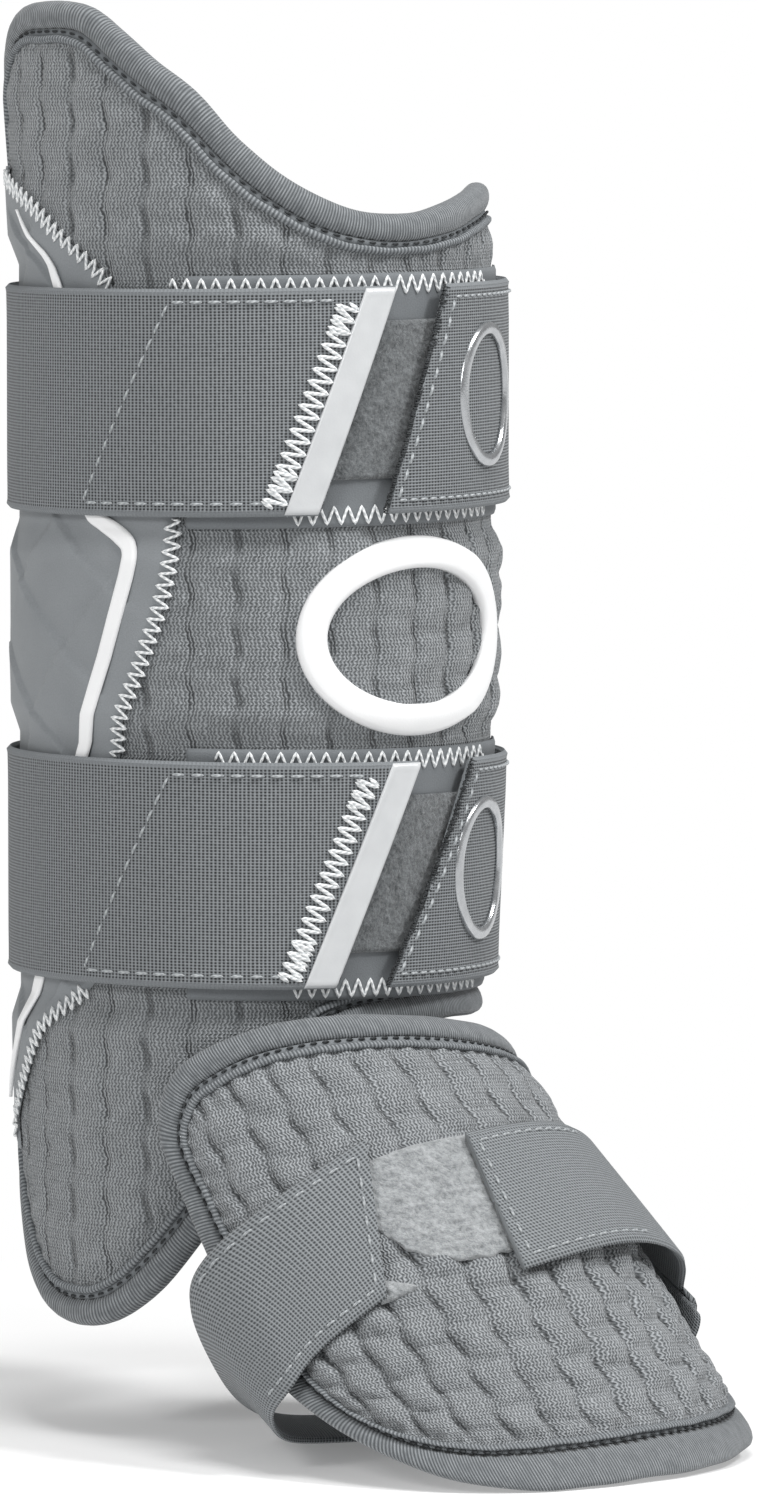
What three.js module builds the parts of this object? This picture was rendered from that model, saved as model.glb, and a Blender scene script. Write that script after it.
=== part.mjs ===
// Batter's leg guard: a padded shin shell, open at the back, with two wide
// elastic straps, a moulded side plate, and a padded flap over the instep that
// is held by a strap under the arch. It is modelled as it stands when worn.
// Millimetres, +Z up, the toes point to -Y and the outer side of the leg to -X.
import * as THREE from 'three';

// Leg that the shin pad is wrapped around, measured to the pad's outer face
const legHalfWidth = 67;
const legHalfDepth = 68.3;
const shinPadHeight = 346;
const shinPadBase = 45;

// Padding and its edge
const shinPadThickness = 9;
const flapPadThickness = 8.6;
const padEdgeThickness = 5.2;
const padEdgeDrop = 1.6;
const padEdgeRadius = 9;
const channelPitch = 13.2;
const channelDepth = 1.1;
const leastStep = 0.3;
const bindingWidth = 8.2;
const bindingThickness = 7.6;
const toeBindingExtra = 6;
const clearance = 0.3;
const seamClearance = 0.8;
const layerClearance = 0.45;

// Local give of the padding
const strapSqueeze = 2.6;
const squeezeFade = 8;
const squeezeMargin = 1.2;
const calfFlare = 3.2;
const kneeTuck = 2.6;
const ankleTuck = 3.2;

// Straps and the loop panels that they close on
const strapWidth = 62;
const strapThickness = 1.8;
const strapEndLift = 1.1;
const loopPanelThickness = 0.9;
const loopPileThickness = 1.1;
const loopPanelMargin = 3.4;
const loopPileMargin = 9.5;
const tabWidth = 9;
const tabThickness = 0.9;
const tabInset = 0.4;
const strapBadgeHeight = 40;
const strapBadgeWidth = 30;
const strapBadgeBand = 3.6;
const badgeThickness = 0.9;
const strapBadgeSeat = 0.35;
const strapBadgeTurnAngle = 24.5;

// Side plate and front badge
const sidePlateThickness = 1.1;
const sidePlateEdge = 1.6;
const sidePlateRearEdge = 7.5;
const sidePlateLeast = 4;
const sidePlateSeat = 2;
const trimWidth = 5.2;
const trimThickness = 0.7;
const trimSeat = 0.6;
const frontBadgeWidth = 76;
const frontBadgeGap = 3.1;
const frontBadgeBand = 9;
const frontBadgeThickness = 1.6;
const badgeSeat = 0.75;

// Flap over the instep
const footReach = 172;
const instepHeight = 122;
const cuffGap = 6.905;
const footHalfWidth = 69;
const flapLength = 155;
const archStrapThickness = 1.8;
const archStrapLift = 7.5;
const flapLoopThickness = 1.1;
const tongueThickness = 2;
const tongueHalfAngle = 17;

const { degToRad, lerp, smoothstep, clamp } = THREE.MathUtils;

// The pad's lower front edge, the cuff, lies a gap above the instep. Heights on
// the shin are shares that run to the cuff below it and to the top above it.
const cuffShare = 0.2425;
const cuffHeight = instepHeight + cuffGap;
const shinTop = shinPadBase + shinPadHeight;

function shinHeightAt(share) {
  if (share < cuffShare) return lerp(shinPadBase, cuffHeight, share / cuffShare);
  return lerp(cuffHeight, shinTop, (share - cuffShare) / (1 - cuffShare));
}

function shinShareAt(height) {
  if (height < cuffHeight) return (cuffShare * (height - shinPadBase)) / (cuffHeight - shinPadBase);
  return lerp(cuffShare, 1, (height - cuffHeight) / (shinTop - cuffHeight));
}

const upperStrapCentre = shinHeightAt(0.714);
const lowerStrapCentre = shinHeightAt(0.338);
// The front badge fills the space between the two loop panels
const frontBadgeCentre = (upperStrapCentre + lowerStrapCentre) / 2;
const frontBadgeHeight = upperStrapCentre - lowerStrapCentre - strapWidth - 2 * (loopPanelMargin + frontBadgeGap);
// Middle of the hollow, where the leg holds the guard
const seatHeight = shinHeightAt(0.535);

const columnStep = channelPitch / 2;
const backLimit = Math.cos(degToRad(145));
const arcPerDegree = degToRad((legHalfWidth + legHalfDepth) / 2);
const flapArcPerDegree = degToRad(footHalfWidth);

// Edge of the shin pad, all the way round.
// [angle from the shin's front towards the outer side, height as a share]
const shinOutlineShares = [
  [121, 0.977], [112, 0.996], [101, 1.0], [88, 0.997], [80, 0.981], [70, 0.957],
  [60, 0.934], [49, 0.897], [39, 0.870], [26, 0.846], [14, 0.835], [0, 0.833],
  [-15, 0.840], [-30, 0.850], [-50, 0.856], [-78, 0.836], [-101, 0.824],
  [-117, 0.800], [-126, 0.748], [-128, 0.66], [-128, 0.50], [-127, 0.36],
  [-121, 0.288], [-106, 0.256], [-80, 0.243], [-50, 0.241], [-18, 0.243],
  [-5, 0.242], [7, 0.240], [17, 0.236], [27, 0.222], [35, 0.190], [44, 0.141],
  [54, 0.092], [62, 0.056], [72, 0.022], [81, 0.004], [91, 0.0], [100, 0.007],
  [107, 0.024], [115, 0.055], [124, 0.100], [131, 0.165], [136, 0.26],
  [139, 0.40], [139.5, 0.54], [138.5, 0.68], [136, 0.79], [132, 0.88], [128, 0.942],
];

// Front edge of the side plate, from its top corner down.
// [height as a share, angle]
const sidePlateFrontShares = [
  [0.897, 129], [0.880, 117], [0.868, 105], [0.842, 93], [0.812, 81], [0.772, 71],
  [0.700, 65], [0.610, 61], [0.585, 61], [0.550, 63.5], [0.500, 69], [0.455, 75],
  [0.400, 78], [0.300, 79.5], [0.255, 82], [0.236, 89], [0.223, 97],
  [0.205, 103], [0.172, 110], [0.125, 121], [0.105, 125.5],
];

// White line on the side plate. [angle, height as a share]
const trimLineShares = [
  [111, 0.862], [106, 0.845], [99, 0.826], [94.5, 0.800], [91, 0.755], [86.5, 0.680],
  [81.5, 0.618], [75, 0.602], [72.5, 0.586], [72.5, 0.565], [78, 0.500],
  [87, 0.432], [95, 0.350], [104, 0.250], [113, 0.200], [124, 0.145],
];

// Strap ends: angles of the outer piece's end and the inner piece's end, and
// the rise of the strap from the outer to the inner side as a share of its width
// [bottom outer end, top outer end, bottom inner end, top inner end, rise]
const upperStrapEndAngles = [26, 7, 10, -7.5, 0.0355];
const lowerStrapEndAngles = [21.5, 0, 8, -18, -0.0258];
const loopPanelStartAngle = -56;
const loopPanelEndAngle = 57;
const loopPileInsetAngle = 6;

// Sections of the flap from the ankle to the toes: forward as a share of
// footReach, up as a share of instepHeight, sideways as a share of footHalfWidth
// [station, side forward, side up, ridge forward, ridge up, half width, centre]
const flapSectionShares = [
  [0.00, 0.105, 0.869, 0.436, 1.000, 0.913, -0.087],
  [0.33, 0.291, 0.508, 0.628, 0.672, 0.986, -0.014],
  [0.50, 0.395, 0.361, 0.721, 0.500, 1.000, 0],
  [0.66, 0.512, 0.230, 0.814, 0.336, 1.000, 0.003],
  [1.00, 0.756, 0.049, 1.000, 0.016, 0.950, 0.012],
];

// Edge of the flap's pad. [angle over the instep, station]
const flapOutlineShares = [
  [-75, 0.155], [-72, 0.115], [-66, 0.075], [-56, 0.048], [-44, 0.030], [-30, 0.024],
  [-14, 0.030], [3, 0.042], [22, 0.058], [40, 0.072], [56, 0.095], [67, 0.150],
  [73, 0.240], [76, 0.360], [77.5, 0.500], [77.5, 0.640], [76, 0.745], [70, 0.812],
  [58, 0.846], [40, 0.860], [20, 0.865], [0, 0.868], [-18, 0.874], [-34, 0.878],
  [-48, 0.870], [-60, 0.845], [-69, 0.795], [-74, 0.730], [-76.5, 0.630],
  [-76, 0.520], [-75, 0.400], [-75, 0.270],
];

// Loop patch on the flap. [angle, station at the top edge, at the bottom edge]
const flapLoopShares = [
  [-52, 0.300, 0.435], [-44, 0.283, 0.440], [-36, 0.268, 0.445], [-28, 0.255, 0.468],
  [-20, 0.245, 0.485], [-12, 0.240, 0.480], [-4, 0.238, 0.470], [4, 0.238, 0.462],
  [12, 0.240, 0.455],
];

// Strap under the arch where it lies on the flap
// and its lift off it as a share of archStrapLift
// [back edge angle, station, lift, front edge angle, station, lift]
const archStrapOuterShares = [
  [-30, 0.220, 0, -43, 0.530, 0], [-42, 0.255, 0, -53, 0.565, 0],
  [-54, 0.290, 0, -63, 0.600, 0], [-66, 0.325, 0.04, -72, 0.640, 0.053],
  [-78, 0.362, 0.16, -81, 0.690, 0.213],
];
const archStrapInnerShares = [
  [78, 0.340, 0.373, 76, 0.572, 1], [64, 0.295, 0.213, 62, 0.533, 0.95],
  [50, 0.258, 0.107, 48, 0.505, 0.827], [34, 0.232, 0.04, 33, 0.490, 0.613],
  [20, 0.225, 0, 20, 0.488, 0.373], [6, 0.230, 0, 6, 0.500, 0.16],
  [-7, 0.240, 0.08, -10, 0.520, 0.12],
];
// and where it passes under the arch: sideways as a share of footHalfWidth,
// forward as a share of footReach and up as a share of instepHeight
// [back edge sideways, forward, up, front edge sideways, forward, up]
const archStrapUnderShares = [
  [-1.035, 0.335, 0.420, -1.010, 0.535, 0.178], [-0.880, 0.322, 0.268, -0.930, 0.518, 0.122],
  [-0.645, 0.270, 0.156, -0.760, 0.500, 0.104], [-0.450, 0.252, 0.108, -0.480, 0.482, 0.090],
  [-0.150, 0.242, 0.088, -0.120, 0.468, 0.080], [0.280, 0.250, 0.092, 0.280, 0.478, 0.084],
  [0.620, 0.272, 0.120, 0.640, 0.508, 0.110], [0.870, 0.304, 0.190, 0.915, 0.548, 0.155],
  [1.005, 0.345, 0.320, 1.055, 0.582, 0.235], [1.060, 0.400, 0.470, 1.080, 0.594, 0.315],
];

// Fabric tongue that carries the flap, from inside the shin pad to inside the
// flap. Forward is the sum of a share of legHalfDepth and one of footReach.
// [forward with the leg, forward with the foot, up as a share of instepHeight]
const tonguePathShares = [
  [0.760, 0, 1.240], [0.760, 0, 1.110], [0.766, 0, 1.010], [0.720, 0.032, 0.955],
  [0.500, 0.1595, 0.912], [0.250, 0.305, 0.868], [0.100, 0.400, 0.812], [0, 0.476, 0.756],
];

// Heights at which the pad's relief bends, so that every layer on it has a row
// of points there and lies on the same facets
const squeezeHalf = strapWidth / 2 + loopPanelMargin + squeezeMargin;
const kneeStart = upperStrapCentre + squeezeHalf;
const calfEnd = shinHeightAt(0.95);
const ankleStart = lowerStrapCentre + squeezeHalf;
const ankleEnd = lowerStrapCentre - squeezeHalf;
const reliefRows = [
  shinHeightAt(0.07), shinHeightAt(0.15),
  ankleEnd - squeezeFade, ankleEnd, ankleStart, ankleStart + squeezeFade,
  upperStrapCentre - squeezeHalf - squeezeFade, upperStrapCentre - squeezeHalf,
  kneeStart, kneeStart + squeezeFade, calfEnd,
];

// Straight ramp from 0 to 1
function ramp(value, from, to) {
  return clamp((value - from) / (to - from), 0, 1);
}

// Returns a window that is 1 inside a band about a height and 0 beyond its fade
function bandWindow(height, centre) {
  return 1 - ramp(Math.abs(height - centre), squeezeHalf, squeezeHalf + squeezeFade);
}

// Returns how far the strap squeezes, or the wearer's shape moves, the pad
function legRelief(angle, height) {
  const wrapped = ((((angle + 180) % 360) + 360) % 360) - 180;
  const front = smoothstep(180 - Math.abs(wrapped), 8, 45);
  const squeeze = bandWindow(height, upperStrapCentre) + bandWindow(height, lowerStrapCentre);
  const calf = calfFlare * smoothstep(wrapped, 85, 128) * ramp(height, kneeStart, calfEnd);
  const knee = kneeTuck * smoothstep(-wrapped, 0, 50) * ramp(height, kneeStart, kneeStart + squeezeFade);
  const ankle = ankleTuck * smoothstep(45 - wrapped, 0, 40) * (1 - ramp(height, ankleEnd, ankleStart));
  return -strapSqueeze * squeeze + front * (calf - knee - ankle);
}

// Point on the leg's wrapped surface: [arc in mm, height] and an offset outward
function legPoint([arc, height], offset) {
  const angle = arc / arcPerDegree;
  const out = offset + legRelief(angle, height);
  return new THREE.Vector3(
    -(legHalfWidth + out) * Math.sin(degToRad(angle)),
    -(legHalfDepth + out) * Math.cos(degToRad(angle)),
    height,
  );
}

// Value of one column of a table at a key in the table's first column
function column(table, key, index) {
  let i = 0;
  while (i < table.length - 2 && (table[i + 1][0] - key) * (table[1][0] - table[0][0]) < 0) i += 1;
  const share = (key - table[i][0]) / (table[i + 1][0] - table[i][0]);
  return lerp(table[i][index], table[i + 1][index], share);
}

// Point on the flap's surface: [arc in mm, length in mm] and an offset outward
function flapPoint([arc, length], offset) {
  const angle = degToRad(arc / flapArcPerDegree);
  const station = length / flapLength;
  const [sideY, sideZ, ridgeY, ridgeZ, half, centre] = [1, 2, 3, 4, 5, 6]
    .map((index) => column(flapSectionShares, station, index));
  const rise = new THREE.Vector2(
    (ridgeY - sideY) * footReach,
    (ridgeZ - sideZ) * instepHeight,
  );
  const reach = rise.length();
  const along = (reach + offset) / reach * Math.cos(angle);
  return new THREE.Vector3(
    centre * footHalfWidth + (half * footHalfWidth + offset) * Math.sin(angle),
    -(sideY * footReach + rise.x * along),
    sideZ * instepHeight + rise.y * along,
  );
}

// Closed mesh from points and quads, with its faces turned outward
function closedGeometry(points, quads) {
  const triangles = [];
  for (const [a, b, c, d] of quads) triangles.push(a, b, c, a, c, d);
  let volume = 0;
  const cross = new THREE.Vector3();
  for (let i = 0; i < triangles.length; i += 3) {
    const [p, q, r] = [0, 1, 2].map((k) => points[triangles[i + k]]);
    volume += cross.crossVectors(q, r).dot(p);
  }
  if (volume < 0) triangles.reverse();
  const geometry = new THREE.BufferGeometry();
  geometry.setAttribute('position', new THREE.Float32BufferAttribute(points.flatMap((p) => p.toArray()), 3));
  geometry.setIndex(triangles);
  geometry.computeVertexNormals();
  return geometry;
}

// Even steps of the quilt between two ends, as many for every row of a sheet
// whose ends lie between low and high, and half as many behind the leg
function stepsBetween(from, to, low, high) {
  const stops = [];
  for (let k = Math.floor(low / columnStep) + 1; k * columnStep < high; k += 1) {
    const behind = Math.cos(k * columnStep / arcPerDegree * Math.PI / 180) < backLimit;
    if (!behind || k % 2 === 0) stops.push(k * columnStep);
  }
  return [from, ...stops.map((stop, i) => clamp(stop, from + (i + 1) * leastStep, to - (stops.length - i) * leastStep)), to];
}

// Rows of the flap's pad, at the stations where its sections bend
const flapRows = [0.14, 0.33, 0.5, 0.66, 0.77].map((station) => station * flapLength);

// Solid between two grids of points of the same size
function slab(outer, inner) {
  const rows = outer.length;
  const cols = outer[0].length;
  const points = [...outer.flat(), ...inner.flat()];
  const at = (side, i, j) => side * rows * cols + i * cols + j;
  const quads = [];
  for (let i = 0; i < rows - 1; i += 1) {
    for (let j = 0; j < cols - 1; j += 1) {
      quads.push([at(0, i, j), at(0, i, j + 1), at(0, i + 1, j + 1), at(0, i + 1, j)]);
      quads.push([at(1, i, j), at(1, i + 1, j), at(1, i + 1, j + 1), at(1, i, j + 1)]);
    }
    quads.push([at(0, i + 1, 0), at(1, i + 1, 0), at(1, i, 0), at(0, i, 0)]);
    quads.push([at(0, i, cols - 1), at(1, i, cols - 1), at(1, i + 1, cols - 1), at(0, i + 1, cols - 1)]);
  }
  for (let j = 0; j < cols - 1; j += 1) {
    quads.push([at(0, 0, j), at(1, 0, j), at(1, 0, j + 1), at(0, 0, j + 1)]);
    quads.push([at(0, rows - 1, j + 1), at(1, rows - 1, j + 1), at(1, rows - 1, j), at(0, rows - 1, j)]);
  }
  return closedGeometry(points, quads);
}

// Solid swept around a closed run of section loops
function ring(sections) {
  const count = sections.length;
  const sides = sections[0].length;
  const quads = [];
  for (let i = 0; i < count; i += 1) {
    for (let k = 0; k < sides; k += 1) {
      const next = (i + 1) % count;
      const turn = (k + 1) % sides;
      quads.push([i * sides + k, i * sides + turn, next * sides + turn, next * sides + k]);
    }
  }
  return closedGeometry(sections.flat(), quads);
}

// Sheet between two offsets of a surface, from rows of plane points
function sheet(rows, pointAt, low, high) {
  const face = (offset) => rows.map((row) => row.map((p) => pointAt(p, typeof offset === 'function' ? offset(p) : offset)));
  return slab(face(high), face(low));
}

// Smooth closed curve through plane points, as many even steps
function smoothLoop(points, steps) {
  const curve = new THREE.CatmullRomCurve3(
    points.map(([x, y]) => new THREE.Vector3(x, y, 0)), true, 'centripetal');
  return curve.getSpacedPoints(steps).slice(0, steps).map((p) => [p.x, p.y]);
}

// Smooth open curve through plane points, as many even steps
function smoothLine(points, steps) {
  const curve = new THREE.CatmullRomCurve3(points.map(([x, y]) => new THREE.Vector3(x, y, 0)));
  return curve.getSpacedPoints(steps).map((p) => [p.x, p.y]);
}

// Lowest and highest crossing of a plane loop at one value of an axis
function span(loop, axis, value) {
  const found = [];
  loop.forEach((p, i) => {
    const q = loop[(i + 1) % loop.length];
    if ((p[axis] - value) * (q[axis] - value) <= 0 && p[axis] !== q[axis]) {
      found.push(lerp(p[1 - axis], q[1 - axis], (value - p[axis]) / (q[axis] - p[axis])));
    }
  });
  return [Math.min(...found), Math.max(...found)];
}

// Quilted pad inside a plane loop: columns follow the quilt's channels, and
// inner rows lie at the given heights where the pad is tall enough
function quiltedPad(loop, pointAt, padThickness, rowsAt, isPlain) {
  const left = Math.min(...loop.map((p) => p[0]));
  const right = Math.max(...loop.map((p) => p[0]));
  const columns = [];
  const first = Math.ceil((left + padEdgeRadius) / columnStep);
  const last = Math.floor((right - padEdgeRadius) / columnStep);
  for (const share of [0.02, 0.18, 0.55]) columns.push([left + share * padEdgeRadius, false]);
  for (let i = first; i <= last; i += 1) columns.push([i * columnStep, i % 2 === 0]);
  for (const share of [0.55, 0.18, 0.02]) columns.push([right - share * padEdgeRadius, false]);
  const outer = [];
  const inner = [];
  for (const [across, isChannel] of columns) {
    const [low, high] = span(loop, 0, across);
    const margin = Math.min(padEdgeRadius, (high - low) * 0.2);
    const bottom = low + margin;
    const top = high - margin;
    const rows = [low, low + 0.3 * margin, bottom];
    rowsAt.forEach((row, i) => {
      rows.push(clamp(row, bottom + (i + 1) * leastStep, top - (rowsAt.length - i) * leastStep));
    });
    rows.push(top, high - 0.3 * margin, high);
    const outerRow = [];
    const innerRow = [];
    for (const along of rows) {
      const edge = Math.min(along - low, high - along, across - left, right - across);
      const full = smoothstep(edge, 0, padEdgeRadius);
      const groove = isChannel && !isPlain([across, along]) ? channelDepth * full : 0;
      outerRow.push(pointAt([across, along], -padEdgeDrop * (1 - full) - groove));
      innerRow.push(pointAt([across, along], -lerp(padEdgeDrop + padEdgeThickness, padThickness, full)));
    }
    outer.push(outerRow);
    inner.push(innerRow);
  }
  return slab(outer, inner);
}

// Rolled edge binding around a plane loop
function binding(loop, pointAt, widthAt, sides) {
  const centre = -(padEdgeDrop + padEdgeThickness / 2);
  return ring(loop.map((p, i) => {
    const before = loop[(i + loop.length - 1) % loop.length];
    const after = loop[(i + 1) % loop.length];
    const along = new THREE.Vector2(after[0] - before[0], after[1] - before[1]).normalize();
    const half = widthAt(p) / 2;
    const section = [];
    for (let k = 0; k < sides; k += 1) {
      const turn = (2 * Math.PI * k) / sides;
      const out = seamClearance + half + half * Math.cos(turn);
      section.push(pointAt(
        [p[0] + loopSide(loop) * along.y * out, p[1] - loopSide(loop) * along.x * out],
        centre + (bindingThickness / 2) * Math.sin(turn),
      ));
    }
    return section;
  }));
}

// Tells which way round a plane loop runs
function loopSide(loop) {
  let area = 0;
  loop.forEach((p, i) => {
    const q = loop[(i + 1) % loop.length];
    area += p[0] * q[1] - q[0] * p[1];
  });
  return Math.sign(area);
}

// Oval ring lying on a surface
function ovalRing(centre, width, height, band, pointAt, low, high, steps) {
  const sections = [];
  for (let i = 0; i < steps; i += 1) {
    const turn = (2 * Math.PI * i) / steps;
    const at = (inset) => [
      centre[0] + (width / 2 - inset) * Math.cos(turn),
      centre[1] + (height / 2 - inset) * Math.sin(turn),
    ];
    sections.push([
      pointAt(at(0), low), pointAt(at(0.06 * band), high), pointAt(at(0.94 * band), high), pointAt(at(band), low),
    ]);
  }
  return ring(sections);
}

const shinLoop = smoothLoop(shinOutlineShares.map(([angle, share]) => [angle * arcPerDegree, shinHeightAt(share)]), 260);
const flapLoop = smoothLoop(flapOutlineShares.map(([angle, station]) => [angle * flapArcPerDegree, station * flapLength]), 180);

// Offsets of the layers outward from the pad
const plateTop = layerClearance + sidePlateThickness;
const trimBase = plateTop + trimSeat;
const panelTop = layerClearance + loopPanelThickness;
const pileTop = panelTop + clearance + loopPileThickness;
const strapInside = Math.max(pileTop, trimBase + trimThickness) + clearance;
const strapOutside = strapInside + strapThickness;

// Angle of the side plate's front edge at a height
function plateFront(height) {
  return column(sidePlateFrontShares, shinShareAt(height), 1) * arcPerDegree - sidePlateEdge;
}

function underPlate([arc, height]) {
  const share = shinShareAt(height);
  const inside = share < sidePlateFrontShares[0][0] && share > sidePlateFrontShares.at(-1)[0];
  return inside && arc > plateFront(height) - sidePlateSeat;
}

function sidePlate() {
  const top = shinHeightAt(sidePlateFrontShares[0][0]);
  const bottom = shinHeightAt(sidePlateFrontShares.at(-1)[0]);
  const bends = [...reliefRows, top, bottom].filter((height) => height <= top && height >= bottom);
  const between = sidePlateFrontShares.map(([share]) => shinHeightAt(share))
    .filter((height) => bends.every((bend) => Math.abs(bend - height) > 0.015 * shinPadHeight));
  const heights = [...bends, ...between].sort((a, b) => a - b);
  const ends = heights.map((height) => {
    const rear = span(shinLoop, 1, height)[1] - sidePlateRearEdge;
    return [Math.min(plateFront(height), rear - sidePlateLeast), rear];
  });
  const low = Math.min(...ends.map((end) => end[0]));
  const high = Math.max(...ends.map((end) => end[1]));
  const rows = heights.map((height, i) => stepsBetween(...ends[i], low, high).map((arc) => [arc, height]));
  return sheet(rows, legPoint, layerClearance, plateTop);
}

function sideTrim() {
  const line = smoothLine(trimLineShares.map(([angle, share]) => [angle * arcPerDegree, shinHeightAt(share)]), 50);
  const rows = line.map((p, i) => {
    const q = line[Math.min(i + 1, line.length - 1)];
    const o = line[Math.max(i - 1, 0)];
    const along = new THREE.Vector2(q[0] - o[0], q[1] - o[1]).normalize();
    const taper = clamp(Math.min(i, line.length - 1 - i) / 6, 0.2, 1);
    const half = (trimWidth / 2) * taper;
    return [[p[0] + along.y * half, p[1] - along.x * half], [p[0] - along.y * half, p[1] + along.x * half]];
  });
  return sheet(rows, legPoint, trimBase, trimBase + trimThickness);
}

// Edge height of a strap at an angle: the strap rises from outer to inner side
function strapEdge(centre, ends, angle, side) {
  const wrapped = ((((angle + 180) % 360) + 360) % 360) - 180;
  const rise = -ends[4] * strapWidth * Math.sin(degToRad(wrapped));
  return centre + side * (strapWidth / 2) + rise / 2;
}

// Rows of a band on the leg whose ends may be slanted
function bandRows(centre, ends, sides, endsAt, margin) {
  const spans = sides.map((side) => endsAt((side + 1) / 2).map((angle) => angle * arcPerDegree));
  const low = Math.min(...spans.map((run) => run[0]));
  const high = Math.max(...spans.map((run) => run[1]));
  return sides.map((side, i) => stepsBetween(...spans[i], low, high)
    .map((arc) => [arc, strapEdge(centre, ends, arc / arcPerDegree, side) + side * margin]));
}

// Lift of the strap's inner end off the loop panel
function endLift([arc]) {
  return strapEndLift * smoothstep(arc / arcPerDegree, 332, 366);
}

function legStrap(centre, ends) {
  const rows = bandRows(centre, ends, [-1, -1 / 3, 1 / 3, 1],
    (share) => [lerp(ends[0], ends[1], share), 360 + lerp(ends[2], ends[3], share)], 0);
  return sheet(rows, legPoint, (p) => strapInside + endLift(p), (p) => strapOutside + endLift(p));
}

function strapTab(centre, ends) {
  const tab = tabWidth / arcPerDegree;
  const rows = bandRows(centre, ends, [-1, -1 / 3, 1 / 3, 1],
    (share) => [lerp(ends[0], ends[1], share) + 0.3, lerp(ends[0], ends[1], share) + 0.3 + tab], -tabInset);
  return sheet(rows, legPoint, strapOutside + clearance, strapOutside + clearance + tabThickness);
}

function loopLayer(centre, ends, margin, from, to, low, high) {
  return sheet(bandRows(centre, ends, [-1, 1], () => [from, to], margin), legPoint, low, high);
}

function strapBadge(centre, ends) {
  const angle = -strapBadgeTurnAngle;
  const base = strapOutside + clearance + endLift([(angle + 360) * arcPerDegree]) + strapBadgeSeat;
  return ovalRing(
    [angle * arcPerDegree, strapEdge(centre, ends, angle, 0)], strapBadgeWidth, strapBadgeHeight, strapBadgeBand,
    legPoint, base, base + badgeThickness, 24,
  );
}

function flapLoopPatch() {
  const rows = flapLoopShares.map(([angle, top, bottom]) => [0, 0.5, 1]
    .map((s) => [angle * flapArcPerDegree, lerp(top, bottom, s) * flapLength]));
  return sheet(rows, flapPoint, clearance, clearance + flapLoopThickness);
}

function archStrap() {
  const base = clearance + flapLoopThickness + clearance;
  const onFlap = ([backAngle, back, backLift, frontAngle, front, frontLift]) => [base, base + archStrapThickness]
    .map((offset) => [
      flapPoint([backAngle * flapArcPerDegree, back * flapLength], offset + backLift * archStrapLift),
      flapPoint([frontAngle * flapArcPerDegree, front * flapLength], offset + frontLift * archStrapLift),
    ]);
  const under = archStrapUnderShares.map(([backX, backY, backZ, frontX, frontY, frontZ]) => [
    new THREE.Vector3(backX * footHalfWidth, -backY * footReach, backZ * instepHeight),
    new THREE.Vector3(frontX * footHalfWidth, -frontY * footReach, frontZ * instepHeight),
  ]);
  const hub = new THREE.Vector3(0, -0.42 * footReach, 0.45 * instepHeight);
  const inner = [];
  const lanes = [0, 1].map((edge) => [
    ...archStrapOuterShares.map((row) => onFlap(row)[0][edge]),
    ...under.map((pair) => pair[edge]),
    ...archStrapInnerShares.map((row) => onFlap(row)[0][edge]),
  ]);
  const steps = 46;
  const curves = lanes.map((lane) => new THREE.CatmullRomCurve3(lane, false, 'centripetal'));
  const runs = curves.map((curve) => curve.getPoints(steps));
  for (let i = 0; i <= steps; i += 1) inner.push([0, 0.5, 1].map((s) => runs[0][i].clone().lerp(runs[1][i], s)));
  const outer = inner.map((row, i) => row.map((p, j) => {
    const along = inner[Math.min(i + 1, steps)][j].clone().sub(inner[Math.max(i - 1, 0)][j]);
    const across = row.at(-1).clone().sub(row[0]);
    const normal = along.cross(across).normalize();
    const sign = Math.sign(normal.dot(p.clone().sub(hub))) || 1;
    return p.clone().addScaledVector(normal, sign * archStrapThickness);
  }));
  return slab(outer, inner);
}

function ankleTongue() {
  const path = tonguePathShares.map(([withLeg, withFoot, up]) => new THREE.Vector2(
    withLeg * legHalfDepth + withFoot * footReach,
    up * instepHeight,
  ));
  const face = (side) => path.map((p, i) => {
    const along = path[Math.min(i + 1, path.length - 1)].clone().sub(path[Math.max(i - 1, 0)]).normalize();
    const y = p.x - along.y * side * (tongueThickness / 2);
    const z = p.y + along.x * side * (tongueThickness / 2);
    return [-1, -0.6, -0.2, 0.2, 0.6, 1].map((s) => {
      const angle = degToRad(s * tongueHalfAngle);
      return new THREE.Vector3(-y * Math.sin(angle), -y * Math.cos(angle), z);
    });
  });
  return slab(face(1), face(-1));
}

const knit = new THREE.MeshStandardMaterial({ color: 0x7c8083, roughness: 0.95, metalness: 0 });
const rib = new THREE.MeshStandardMaterial({ color: 0x6f7376, roughness: 0.9, metalness: 0 });
const webbing = new THREE.MeshStandardMaterial({ color: 0x75797c, roughness: 0.9, metalness: 0 });
const pile = new THREE.MeshStandardMaterial({ color: 0x4d5053, roughness: 1, metalness: 0 });
const palePile = new THREE.MeshStandardMaterial({ color: 0xa4a7a9, roughness: 1, metalness: 0 });
const moulded = new THREE.MeshStandardMaterial({ color: 0x8a8e90, roughness: 0.7, metalness: 0 });
const whiteFilm = new THREE.MeshStandardMaterial({ color: 0xf4f4f4, roughness: 0.5, metalness: 0 });
const silverFilm = new THREE.MeshStandardMaterial({ color: 0xc4c6c8, roughness: 0.4, metalness: 0.3 });

const guard = new THREE.Group();
guard.position.z = -seatHeight;
const assembly = new THREE.Group();
assembly.add(guard);

function add(name, geometry, material) {
  const mesh = new THREE.Mesh(geometry, material);
  mesh.name = name;
  guard.add(mesh);
}

const evenly = (loop, count) => smoothLoop(loop.filter((_, i) => i % 2 === 0), count);
const shinWidth = () => bindingWidth;
const flapWidth = ([, length]) => bindingWidth + toeBindingExtra * smoothstep(length / flapLength, 0.1, 0.8);

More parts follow.
